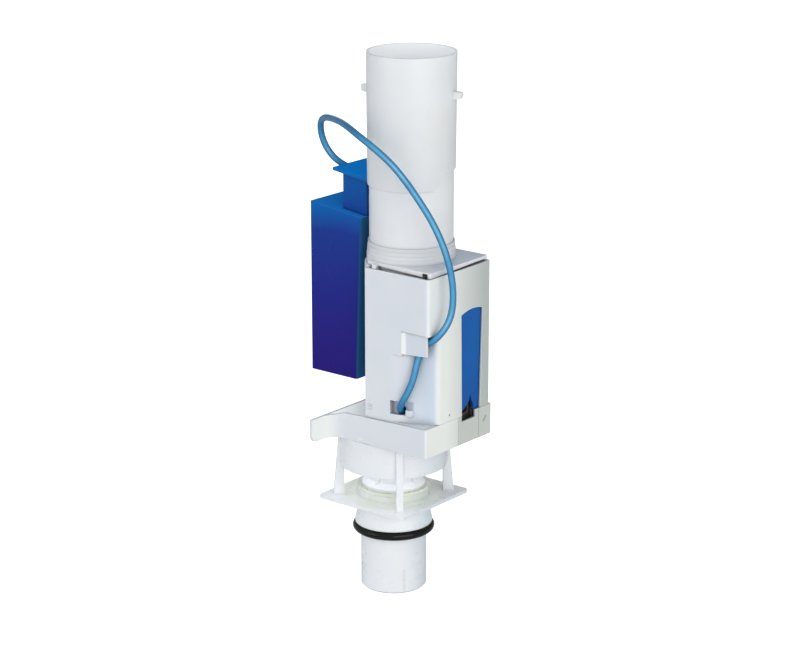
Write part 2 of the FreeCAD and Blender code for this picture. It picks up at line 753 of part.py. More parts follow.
def lifter_plate():
    low = BELLOWS_Z[1] + 0.02
    top = lever_underside(BELLOWS_X) - LIFT_GAP
    disc = cylinder(BELLOWS_R - 1.4, (low, low + 2.0), BELLOWS_X)
    post = cylinder(3.0, (low, top - 1.5), BELLOWS_X)
    nose = Part.makeCone(3.0, 0.8, 1.5, vec(BELLOWS_X, 0, top - 1.5))
    return fuse_all(disc, [post, nose])


def lift_lever():
    """Forked lever: hub at the pin, push plate over the bellows, two arms beside the stem."""
    half_t = LEVER_T / 2
    reach = LEVER_PIVOT[0] + 3.0
    hub = rod_along_y(3.6, (-17.4, 17.4), 0, 0)
    push = box((-26.0, 0), (-FORK_Y[1], FORK_Y[1]), (-half_t, half_t))
    right_arm = box((-reach, -25.0), FORK_Y, (-half_t, half_t))
    left_arm = box((-reach, -25.0), (-FORK_Y[1], -FORK_Y[0]), (-half_t, half_t))
    body = fuse_all(hub, [push, right_arm, left_arm])
    body = body.cut(rod_along_y(PIN_R + 0.05, (-20, 20), 0, 0))
    body.rotate(vec(0, 0, 0), AXIS_Y, LEVER_REST_DEG)
    body.translate(vec(LEVER_PIVOT[0], 0, LEVER_PIVOT[1]))
    return body


def lever_bracket():
    x, z = LEVER_PIVOT
    foot_z = (CASE_FLOOR + 0.02, CASE_FLOOR + 2.0)
    post_z = (CASE_FLOOR + 0.02, z + 4.5)
    posts = [box((x - 3.4, x + 4.4), (y, y + 3.0), post_z) for y in (-20.6, 17.6)]
    feet = [box((x - 6.0, x + 5.0), (y, y + 4.4), foot_z) for y in (-22.0, 17.6)]
    bar = box((x + 1.6, x + 4.4), (-18.0, 18.0), (60.0, 66.0))
    body = fuse_all(posts[0], [posts[1], bar] + feet)
    return body.cut(rod_along_y(PIN_R + 0.02, (-30, 30), x, z))


def lever_pin():
    return rod_along_y(PIN_R, (-23.0, 23.0), LEVER_PIVOT[0], LEVER_PIVOT[1])


def lever_pin_clips():
    """One spring clip outside each post of the bracket."""
    clips = []
    for y in ((-21.9, -20.9), (20.9, 21.9)):
        ring = rod_along_y(3.2, y, LEVER_PIVOT[0], LEVER_PIVOT[1])
        clips.append(ring.cut(rod_along_y(PIN_R + 0.02, y, LEVER_PIVOT[0], LEVER_PIVOT[1])))
    return Part.makeCompound(clips)


def elbow_axis():
    direction = vec(*ELBOW_AIM)
    direction.normalize()
    return vec(ELBOW_FOOT[0], ELBOW_FOOT[1], ELBOW_Z), direction


def hose_elbow():
    """Standing pipe from the cup, turned towards the front window, with a plain barb."""
    heart, direction = elbow_axis()
    hose_start, hose_aim = hose_mouth()
    stand = cylinder(3.2, (CASE_FLOOR + 6.02, ELBOW_Z), ELBOW_FOOT[0], ELBOW_FOOT[1])
    ball = Part.makeSphere(3.2, heart)
    head = Part.makeCylinder(3.0, 4.8, heart, direction)
    barb = Part.makeCylinder(1.05, 3.4, hose_start - hose_aim * 1.2, hose_aim)
    body = fuse_all(stand, [ball, head, barb])
    body = body.cut(cylinder(1.6, (CASE_FLOOR + 5, ELBOW_Z), ELBOW_FOOT[0], ELBOW_FOOT[1]))
    body = body.cut(Part.makeCylinder(0.7, 5.8, heart, direction))
    return body.cut(Part.makeCylinder(0.7, 6.0, hose_start - hose_aim * 1.6, hose_aim))


def hose_path():
    """The hose's centreline: out of the front window, under the hood, round the tube and down behind."""
    heart, direction = elbow_axis()
    points = [heart + direction * 6.0, heart + direction * 13.5]
    points += [
        vec(36.6, -34.4, 85.3),
        vec(41.4, -33.0, 95.6),
        vec(43.4, -31.2, 105.1),
        vec(44.7, -28.95, 114.4),
        vec(49.0, -28.2, 122.4),
        vec(56.8, -28.9, 128.2),
        vec(64.1, -24.0, 139.2),
        vec(66.0, -20.3, 158.9),
        vec(63.9, -22.2, 179.2),
        vec(56.6, -26.5, 202.1),
        vec(45.7, -34.5, 225.0),
        vec(31.9, -42.9, 245.5),
        vec(9.3, -45.6, 259.9),
        vec(-10.4, -37.0, 263.7),
        vec(-33.0, -23.6, 262.8),
        vec(-52.4, -12.0, 255.8),
        vec(-55.6, -6.0, 242.2),
        vec(-50.6, -1.0, 230.4),
        vec(-47.0, 7.0, 223.6),
        vec(-45.4, 17.0, 218.8),
        vec(-41.0, 27.6, 212.0),
        vec(-36.0, 31.4, 204.0),
        vec(TAIL_X, TAIL_Y, 196.0),
        vec(TAIL_X, TAIL_Y, 192.0),
    ]
    curve = Part.BSplineCurve()
    curve.interpolate(points)
    return curve


def hose_mouth():
    """Where the hose starts on the elbow's barb, and the way it runs there."""
    curve = hose_path()
    return curve.value(curve.FirstParameter), curve.tangent(curve.FirstParameter)[0]


def air_hose():
    """The hose along its curve, with a straight tail at its free end."""
    curve = hose_path()
    start, start_aim = hose_mouth()
    end = curve.value(curve.LastParameter)
    end_aim = curve.tangent(curve.LastParameter)[0]
    tail = Part.LineSegment(end, end + end_aim * HOSE_END_LENGTH).toShape()
    path = Part.Wire([curve.toShape(), tail])

    def swept(radius):
        ring = Part.Wire(Part.makeCircle(radius, start, start_aim))
        return path.makePipeShell([ring], True, True)

    return swept(HOSE_R).cut(swept(HOSE_BORE_R))


# ---------------------------------------------------------------- valve
def valve_stem():
    """Hollow stem over the outlet, widening and stepping sideways into the tube's socket."""
    def funnel(shrink):
        low = Part.Wire(Part.makeCircle(STEM_R - shrink, vec(0, 0, FUNNEL_Z[0])))
        high = Part.Wire(Part.makeCircle(SOCKET_R - shrink, vec(TUBE_X, 0, FUNNEL_Z[1])))
        return Part.makeLoft([low, high], True, True)

    wall = STEM_R - STEM_BORE_R
    pin_r = 2.5
    tilt = math.radians(LEVER_REST_DEG)
    pin_z = LEVER_PIVOT[1] - VALVE_LIFT / 2 + (LEVER_T / 2 + pin_r) / math.cos(tilt)
    solid = fuse_all(
        cylinder(STEM_R, (STEM_BOTTOM, FUNNEL_Z[0])),
        [
            funnel(0.0),
            cylinder(SOCKET_R, (FUNNEL_Z[1], SOCKET_TOP), TUBE_X),
            rod_along_y(pin_r, (-17.4, 17.4), 0, pin_z + LIFT_GAP),
        ],
    )
    hollow = fuse_all(
        cylinder(STEM_BORE_R, (STEM_BOTTOM - 1, FUNNEL_Z[0])),
        [funnel(wall), cylinder(SOCKET_BORE_R, (FUNNEL_Z[1] + 1.0, SOCKET_TOP + 1), TUBE_X)],
    )
    mouth_z = (FUNNEL_Z[1] - 0.5, FUNNEL_Z[1] + 2)
    hollow = hollow.fuse(cylinder(SOCKET_R - wall - 0.6, mouth_z, TUBE_X))
    return solid.cut(hollow)


def lower_tube():
    foot = FUNNEL_Z[1] + 1.05
    body = fuse_all(
        cylinder(TUBE_R, (SOCKET_TOP + 0.05, TUBE_TOP), TUBE_X),
        [cylinder(TUBE_FOOT_R, (foot, SOCKET_TOP + 1), TUBE_X)],
    )
    catch = box((TUBE_X - TUBE_R - 6.4, TUBE_X - TUBE_R + 1), (-4.0, 4.0), CATCH_Z)
    body = fuse_all(body, [catch])
    body = body.cut(cylinder(TUBE_BORE_R - 0.2, (foot - 1, TUBE_TOP + 1), TUBE_X))
    groove = tube(TUBE_R + 1, TUBE_R - 1.35, (268.0, 270.0), TUBE_X)
    return body.cut(groove)


def tube_o_ring():
    return Part.makeTorus(TUBE_R - 0.62, 0.7, vec(TUBE_X, 0, 269.0))


def valve_disc():
    low = SEAT_TOP + SEAT_GAP + SEAL_T
    body = revolve(
        [
            (STEM_BORE_R, low),
            (DISC_R, low),
            (DISC_R, low + 1.6),
            (DISC_R - 1.0, low + 2.4),
            (STEM_R + 4.0, low + 4.2),
            (STEM_R + 2.2, low + 10.0),
            (STEM_R + 0.05, low + 10.0),
            (STEM_R + 0.05, STEM_BOTTOM - 0.02),
            (STEM_BORE_R, STEM_BOTTOM - 0.02),
        ]
    )
    ribs = around(box((STEM_R + 1.0, DISC_R - 2.5), (-0.7, 0.7), (low + 1.0, low + 6.5)), 8)
    return fuse_all(body, ribs)


def valve_seal():
    z = (SEAT_TOP + SEAT_GAP, SEAT_TOP + SEAT_GAP + SEAL_T - 0.02)
    return tube(SEAL_R, STEM_BORE_R + 1.0, z)


def seal_retainer():
    """Ring under the seal with four vanes that guide the valve in the outlet bore."""
    top = SEAT_TOP + SEAT_GAP - 0.02
    ring = cylinder(19.4, (top - 2.0, top))
    hub = cylinder(14.0, (-2.0, top))
    vane = box((12.5, SPIGOT_BORE_R - 0.4), (-0.9, 0.9), (-30.0, top - 1))
    body = fuse_all(ring, [hub] + around(vane, 4, 45))
    return body.cut(cylinder(STEM_BORE_R + 0.4, (-40, top + 1)))


def overflow_sleeve():
    """Telescoping upper tube with a ramped notch in its lower edge and two lifting lugs."""
    height = SLEEVE_TOP - SLEEVE_BOTTOM
    body = Part.makeCone(SLEEVE_R_LOW, SLEEVE_R_TOP, height, vec(TUBE_X, 0, SLEEVE_BOTTOM))
    lug = prism_xz(
        [
            (27.0, SLEEVE_LUG_Z - 3.4),
            (SLEEVE_LUG_R - 0.8, SLEEVE_LUG_Z - 2.4),
            (SLEEVE_LUG_R, SLEEVE_LUG_Z - 1.0),
            (SLEEVE_LUG_R, SLEEVE_LUG_Z + 2.0),
            (27.0, SLEEVE_LUG_Z + 2.6),
        ],
        (-2.0, 2.0),
    )
    lug.translate(vec(TUBE_X, 0, 0))
    body = fuse_all(body, around(lug, 2, 15, TUBE_X))
    body = body.cut(cylinder(SLEEVE_BORE_R, (SLEEVE_BOTTOM - 1, SLEEVE_TOP + 1), TUBE_X))
    below = SLEEVE_BOTTOM - 5
    ramp = [
        (SLEEVE_RAMP_Y[0], below),
        (SLEEVE_RAMP_Y[0], SLEEVE_BOTTOM),
        (SLEEVE_RAMP_Y[1], SLEEVE_NOTCH_Z),
        (24.0, SLEEVE_NOTCH_Z),
        (24.0, below),
    ]
    return body.cut(prism_yz(ramp, (TUBE_X + 10, TUBE_X + 40)))


# ---------------------------------------------------------------- float
def float_outline(inset):
    """The float from the front: sloping top, right side drawn in towards the foot."""
    left = FLOAT_X[0] + inset
    return [
        (left, FLOAT_BOTTOM - (1 if inset else 0)),
        (left, FLOAT_TOP_LEFT - inset),
        (FLOAT_X[1] - inset, FLOAT_TOP_RIGHT - inset),
        (FLOAT_FOOT_X - inset, FLOAT_BOTTOM - (1 if inset else 0)),
    ]


def rail_section(play, z):
    """T-shaped rail, or with play the groove that runs on it."""
    neck = box((-21.4 - play, -14.0), (-1.5 - play, 1.5 + play), z)
    head = box((-21.4 - play, -19.4 + play), (-3.2 - play, 3.2 + play), z)
    return neck.fuse(head)


def float_body():
    outside = prism_xz(float_outline(0.0), FLOAT_Y)
    outside = fillet_where(outside, 1.6, lambda e: e.BoundBox.ZLength > 50)
    inner_y = (FLOAT_Y[0] + FLOAT_WALL, FLOAT_Y[1] - FLOAT_WALL)
    hollow = prism_xz(float_outline(FLOAT_WALL), inner_y)
    spine = box((-24.0, -14.0), (-6.0, 6.0), (FLOAT_BOTTOM - 2, 210.0))
    body = outside.cut(hollow.cut(spine))
    return body.cut(rail_section(0.4, (FLOAT_BOTTOM - 5, RAIL_Z[1] + 6.0)))


def float_cap():
    """Neck on the float's top and the sloping cap plate, with the slot for the tube's catch."""
    slope = (FLOAT_TOP_LEFT - FLOAT_TOP_RIGHT) / (FLOAT_X[1] - FLOAT_X[0])
    left, right = CAP_NECK_X

    def float_top(x):
        return FLOAT_TOP_LEFT - slope * (x - FLOAT_X[0]) + 0.02

    def plate_low(x):
        return CAP_Z - CAP_SLOPE * (x - CAP_X[0]) - CAP_T

    neck = prism_xz(
        [
            (left, float_top(left)),
            (left, plate_low(left) + 0.5),
            (right, plate_low(right) + 0.5),
            (right, float_top(right)),
        ],
        (-7.7, 14.0),
    )
    plate = prism_xz(
        [
            (CAP_X[0], plate_low(CAP_X[0])),
            (CAP_X[0], plate_low(CAP_X[0]) + CAP_T),
            (CAP_X[1], plate_low(CAP_X[1]) + CAP_T),
            (CAP_X[1], plate_low(CAP_X[1])),
        ],
        CAP_Y,
    )
    body = fuse_all(neck, [plate])
    slot = box((TUBE_X - TUBE_R - 6.7, -14.0), (-4.2, 4.2), (CATCH_Z[0] - 0.2, CATCH_Z[1] + 0.2))
    return body.cut(slot).cut(cylinder(SLEEVE_R_TOP + 0.4, (190, 240), TUBE_X))


def float_rail():
    rail = rail_section(0.0, RAIL_Z)
    pad = box((-18.0, -12.0), (-1.5, 1.5), RAIL_Z)
    bulge = cylinder(BULGE_R + 0.02, (RAIL_Z[0] - 1, RAIL_Z[1] + 1), TUBE_X)
    return rail.fuse(pad).removeSplitter().cut(bulge)


# ---------------------------------------------------------------- export
MAKERS = [
    valve_base,
    outlet_o_ring,
    base_skirt,
    housing,
    rear_cover,
    top_plate,
    lower_side_cover,
    side_latch,
    volume_slider,
    bellows_cup,
    bellows,
    bellows_clamp_ring,
    lifter_plate,
    lift_lever,
    lever_bracket,
    lever_pin,
    lever_pin_clips,
    hose_elbow,
    air_hose,
    valve_stem,
    lower_tube,
    tube_o_ring,
    valve_disc,
    valve_seal,
    seal_retainer,
    overflow_sleeve,
    float_body,
    float_cap,
    float_rail,
]

os.makedirs("parts", exist_ok=True)
for make in MAKERS:
    part = make()
    export(make.__name__, part)
    print(make.__name__, "valid" if part.isValid() else "NOT VALID", len(part.Solids), "solid(s)")
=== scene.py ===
import math

import bmesh
import bpy
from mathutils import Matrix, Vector


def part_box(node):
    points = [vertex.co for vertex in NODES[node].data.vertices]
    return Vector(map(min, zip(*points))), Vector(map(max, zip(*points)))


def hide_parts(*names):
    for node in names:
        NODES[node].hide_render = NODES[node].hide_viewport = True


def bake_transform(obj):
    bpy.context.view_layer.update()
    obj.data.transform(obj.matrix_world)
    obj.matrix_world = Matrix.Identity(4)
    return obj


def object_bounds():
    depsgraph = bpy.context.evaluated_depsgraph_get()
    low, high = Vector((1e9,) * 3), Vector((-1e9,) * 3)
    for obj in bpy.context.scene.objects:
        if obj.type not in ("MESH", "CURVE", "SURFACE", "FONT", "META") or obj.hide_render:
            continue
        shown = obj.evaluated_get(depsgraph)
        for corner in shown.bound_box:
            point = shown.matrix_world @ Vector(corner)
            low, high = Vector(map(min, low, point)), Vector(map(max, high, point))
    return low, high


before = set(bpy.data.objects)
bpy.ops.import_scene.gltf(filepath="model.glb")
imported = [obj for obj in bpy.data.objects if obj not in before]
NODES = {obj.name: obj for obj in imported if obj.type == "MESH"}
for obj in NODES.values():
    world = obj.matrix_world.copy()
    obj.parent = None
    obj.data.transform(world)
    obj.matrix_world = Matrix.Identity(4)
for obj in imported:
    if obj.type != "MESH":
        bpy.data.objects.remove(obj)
CAD_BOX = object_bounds()
UP = (0.0, 0.0, 1.0)
RIGHT = (1.0, 0.0, 0.0)
FRONT = (0.0, -1.0, 0.0)

# ---- camera: viewing angle, distance and the point it looks at, relative to the object's box
CAMERA_AZIMUTH = math.radians(38.84)
CAMERA_ELEVATION = math.radians(16.54)
CAMERA_DISTANCE = 1.738
CAMERA_LENS = 113.85
CAMERA_SENSOR = 36.0
CAMERA_CLIP = (0.05, 50.0)
CAMERA_TARGET_OFFSET = Vector((-0.02135, 0.03923, -0.01105))
VIEW_RIGHT = (math.cos(CAMERA_AZIMUTH), math.sin(CAMERA_AZIMUTH), 0.0)

# ---- stage: floor, all-round light and softboxes
FLOOR_GLOW = 0.85
FLOOR_SIZE = 9.0
FLOOR_GAP = 0.0002
FLOOR_TONES = ((0.94, 0.94, 0.94), (0.92, 0.92, 0.925))
AMBIENT = 0.71
AMBIENT_FRONT = 0.24
AMBIENT_BACK = -0.42
AMBIENT_ZENITH = -0.24
FRONT_SKY = (-0.30, -0.94, 0.05)
BACK_SKY = (-0.35, 0.85, 0.40)
SKY_TONE = (0.955, 0.98, 1.0, 1.0)
PLAIN_WHITE = (1.0, 1.0, 1.0, 1.0)
SOFTBOX_DISTANCE = 1.6
# name, direction it shines from, edge length in metres, power in watts, colour
SOFTBOXES = [
    ("key_right", (0.93, -0.42, 0.12), 1.7, 15.5, (1.0, 0.99, 0.955)),
    ("front_left", (-0.45, -1.0, 0.30), 0.9, 3.0, (0.94, 0.97, 1.0)),
    ("rim_back", (-0.8, 1.0, 0.5), 0.8, 1.5, (0.96, 0.98, 1.0)),
]

# ---- folded bellows
BELLOWS_FOLDS = 5
BELLOWS_FOLD_DEPTH = 0.0022
BELLOWS_FOLD_SQUARENESS = 0.7
BELLOWS_FOLD_STEPS = 14
BELLOWS_ROUND_STEPS = 72
BELLOWS_FLANGE_REACH = 0.0018
BELLOWS_FLANGE_T = 0.001
BELLOWS_TOP_T = 0.0008
BELLOWS_TOP_INSET = 0.0003
BELLOWS_WALL = 0.0008
WELD_DISTANCE = 0.00001

# ---- places on the CAD that carry a change of tone, most of it painted light and shade, in metres
CASE_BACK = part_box("housing")[1].y
CASE_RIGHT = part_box("housing")[1].x
TUBE_X = sum(corner.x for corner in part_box("lower_tube")) / 2
FLOAT_LOW, FLOAT_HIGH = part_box("float_body")
CAP_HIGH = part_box("float_cap")[1]
SLIDER_LOW, SLIDER_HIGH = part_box("volume_slider")
SKIRT_TOP = 0.068
SEAM_FADE = (0.0006, 0.0012)
SEAM_WALL_T = 0.003
SEAM_WALL_FADE = 0.001
# painted shade on the lid's top faces and painted shadow in the gap below it
DECK_TOP = 0.1735
DECK_FADE_Y = (-0.024, -0.002)
DECK_ABOVE = (0.0012, 0.0002)
DECK_BELOW = (-0.0002, -0.0012)
# painted shade on the hood face, painted highlight on its sloped strip, painted shadow line along
# its top
HOOD_BOX = (Vector((0.0339, -0.0350, 0.1158)), Vector((0.0544, -0.0312, 0.1313)))
HOOD_SLOPE_WIDTH = 0.0030
HOOD_CREASE = (-0.0006, 0.0003)
# painted lavender shade in the tray under the hose elbow
TRAY_BOX = (Vector((0.0240, -0.0300, 0.0724)), Vector((0.0404, -0.0200, 0.0827)))
# painted shade on the recess floor
RECESS_Y = (-0.0300, -0.0232)
RECESS_FADE_X = (0.030, 0.048)
# painted light and shade on the right-facing wall fade along Y
SIDE_WALL_Y = (-0.014, CASE_BACK - 0.008)
LEFT_HALF_X = (-1.0, 0.003)
CAGE_Z = (0.001, 0.010)
CAGE_SOFT = (0.003, 0.006)
CAGE_RADII = (0.0375, 0.0335)
# painted glow: where the emission on faces that look up fades, and the tube mouth's emission
GLOW_CORNER_FADE = (0.010, 0.050)
TUBE_MOUTH_Z = (0.270, 0.305)
MASK_SOFT = 0.0003
MASK_CRISP = 0.0002
MASK_SHARP = 0.0001

# ---- noise bands: where a noise value starts to count and where it counts fully
MID_BAND = (0.3, 0.7)
CLOUD_BAND = (0.35, 0.7)
STREAK_BAND = (0.55, 0.75)
BLOTCH_BAND = (0.4, 0.62)
DUST_BAND = (0.72, 0.80)
SCUFF_BAND = (0.66, 0.74)
PATCH_BAND = (0.52, 0.66)
DUST_SHARE = 0.12

# ---- noise scales, in waves per metre
NATURAL_CLOUDS = 34.0
NATURAL_STREAKS = 60.0
NATURAL_SKIN = 120.0
CAGE_BLOTCHES = 70.0
WHITE_CLOUDS = 15.0
WHITE_SKIN = 140.0
DUST_SCALE = 700.0
SCUFF_SCALE = 900.0
SCUFF_PATCHES = 18.0
BLUE_WOBBLE = 22.0
BLUE_SKIN = 160.0
BLUE_GRAIN = 1100.0
WIRE_LINES = 1400.0

# ---- stretch of the noise: streaks and scuffs run along Z, wire lines along Y
ALONG_STREAKS = (1.0, 1.0, 0.08)
ALONG_SCUFFS = (1.0, 1.0, 0.12)
ALONG_WIRE = (1.0, 0.03, 1.0)

# ---- edge radii and the width of the painted line along edges, a highlight (a shade line on the panel), in metres
NATURAL_ROUND, NATURAL_EDGE_WIDTH = 0.0004, 0.0009
WHITE_ROUND, WHITE_EDGE_WIDTH = 0.0006, 0.0012
BLUE_ROUND, BLUE_EDGE_WIDTH = 0.0006, 0.0008
EDGE_ALIKE = (0.995, 0.90)
BEVEL_SAMPLES = 6
GAP_SAMPLES = 12

# ---- gaps where shade is painted in, and where the skirt's glow is painted: reach in metres, then the openness that is dark and the one that is clear
NATURAL_SHADE_GAP = (0.003, 0.40, 0.90)
DECK_SHADE_GAP = (0.008, 0.1, 0.75)
BLUE_GAP = (0.0015, 0.4, 0.97)
BLEED_GAP = (0.030, 0.0, 1.0)
CAVITY_OPEN = (0.05, 0.80)
# painted glow on the shaded side of the skirt's thin left walls
BLEED_FADE = (0.75, 0.35)

# ---- shares of a tone that is laid over the base, most of them painted light and shade, and of the roughness that scuffs add
STREAK_SHARE = 0.2
CREVICE_SHADE_SHARE = 0.42
NATURAL_EDGE_SHARE = 0.6
NATURAL_SCUFF = 0.1
BLOTCH_SHARES = (0.45, 0.9)
DECK_SHARES = (0.15, 1.0)
RECESS_SHARES = (0.1, 1.0)
TOP_GLOW_SHARES = (0.4, 1.0)
GLOW_CORNER_SHARES = (1.0, 0.1)
CREASE_SHADOW_SHARE = 0.75
WHITE_EDGE_SHARE = 0.55
WHITE_SCUFF = 0.22
BLUE_RUB_SHARE = 0.10
BLUE_EDGE_SHARE = 0.18
BLUE_CREVICE_SHADE_SHARE = 0.85
BLUE_SCUFF = 0.2
BLUE_WOBBLE_SHARE = 0.12
HOSE_CLOUD_SHARES = (0.0, 0.35)

# ---- facing masks: how squarely a wall has to look in a direction
FACING = (0.5, 0.9)
FACING_SIDE_WALL = (0.45, 0.98)
FACING_SIDE_LIGHT = (0.35, 0.8)
FACING_SIDE_SHADE = (0.30, 0.90)
FACING_BORE = (-0.2, -0.7)

# ---- moulded surface relief
SINK_WAVE_SCALE = 26.0
SINK_WAVE_DEPTH = 0.00012
GRAIN_SCALE = 900.0
GRAIN_DEPTH = 0.00002
RELIEF_STRENGTH = 0.35

# ---- colours of the natural plastic, with the painted light and shade laid on it
CLEAR = (0.905, 0.92, 0.94)
CLEAR_DIM = (0.85, 0.875, 0.905)
# painted highlight along the edges of the natural plastic
CLEAR_EDGE_HIGHLIGHT = (0.93, 0.94, 0.95)
# painted bluish shade on the lid's top faces
DECK_SHADE_TONE = (0.52, 0.61, 0.73)
CAGE_TINT = (0.78, 0.81, 0.72)
# painted shade in narrow gaps of the natural plastic
CREVICE_SHADE_TONE = (0.42, 0.45, 0.46)
# painted bluish shade on the walls that face right of the view
COOL_SIDE_SHADE_TONE = (0.62, 0.75, 0.86)

# ---- colours of the white and the inner mouldings, with the painted light and shade laid on them
WHITE = ((0.79, 0.815, 0.86), (0.73, 0.765, 0.83))
PANEL = ((0.63, 0.655, 0.625), (0.59, 0.615, 0.59))
# painted shade line along the panel's edges
PANEL_EDGE_SHADE = (0.42, 0.43, 0.41)
INNER = ((0.70, 0.69, 0.65), (0.62, 0.61, 0.57))
# near-black painted shade on the lever bracket, inside the casing below the slider
BRACKET_SHADE_TONES = ((0.13, 0.125, 0.115), (0.10, 0.095, 0.09))
# painted light near the front corner of the right-facing wall, painted shade towards its back
CORNER_PAINTED_LIGHT_TONE = (0.90, 0.925, 0.895)
BACK_PAINTED_SHADE_TONE = (0.50, 0.54, 0.525)
# painted highlight along edges and on the hood's sloped strip
EDGE_HIGHLIGHT_TONE = (0.94, 0.945, 0.95)
# painted shade on the hood face
HOOD_SHADE_TONE = (0.70, 0.755, 0.83)
# painted shade on the recess floor
RECESS_SHADE_TONE = (0.67, 0.75, 0.84)
# painted lavender shade in the tray
TRAY_SHADE_TONE = (0.66, 0.69, 0.82)
# painted shadow line along the hood's top
CREASE_SHADOW_TONE = (0.30, 0.33, 0.37)
# painted shade deep inside gaps and cavities
CAVITY_SHADE_TONE = (0.030, 0.028, 0.022)
DUST_TONE = (0.52, 0.50, 0.46)
INNER_REACH = 0.05
INNER_GAP_SHADE = 0.97
CASING_GAP_SHADE = 0.9

# ---- colours of the blue mouldings, from the foot up
FLOAT_STOPS = [
    (0.0, (0.024, 0.012, 0.20)),
    (0.45, (0.020, 0.023, 0.25)),
    (0.85, (0.015, 0.045, 0.29)),
    (1.0, (0.004, 0.130, 0.46)),
]
CAP_STOPS = [
    (0.0, (0.012, 0.075, 0.34)),
    (0.75, (0.008, 0.11, 0.40)),
    (1.0, (0.005, 0.19, 0.58)),
]
SLIDER_STOPS = [
    (0.0, (0.010, 0.095, 0.38)),
    (0.5, (0.009, 0.120, 0.43)),
    (1.0, (0.010, 0.115, 0.42)),
]
# painted light on the float's right-facing walls and on the blue faces that look up
FLOAT_SIDE_PAINTED_LIGHT = (0.020, 0.11, 0.25)
FLOAT_TOP_PAINTED_LIGHT = (0.022, 0.26, 0.78)
CAP_TOP_PAINTED_LIGHT = (0.010, 0.29, 0.90)
BLUE_RUB = (0.20, 0.32, 0.70)
# painted highlight along the edges of the blue mouldings
BLUE_EDGE_HIGHLIGHT = (0.10, 0.28, 0.60)
# painted shade in the gaps of the blue mouldings
BLUE_CREVICE_SHADE = (0.004, 0.015, 0.09)

# ---- colours of the hose, from its middle to its edges (the first two stops are a painted highlight), and of the small parts
HOSE_HIGHLIGHT_STOPS = [
    (0.0, (0.36, 0.66, 0.84)),
    (0.025, (0.13, 0.42, 0.66)),
    (0.08, (0.085, 0.35, 0.59)),
    (0.22, (0.045, 0.27, 0.49)),
    (0.50, (0.010, 0.18, 0.37)),
    (1.0, (0.006, 0.14, 0.31)),
]
HOSE_CLOUD = (0.04, 0.20, 0.46)
RUBBER = ((0.004, 0.004, 0.002), (0.009, 0.008, 0.005))
SILICONE = ((0.88, 0.90, 0.80), (0.82, 0.85, 0.70))
STEEL = ((0.62, 0.62, 0.60), (0.42, 0.42, 0.41))


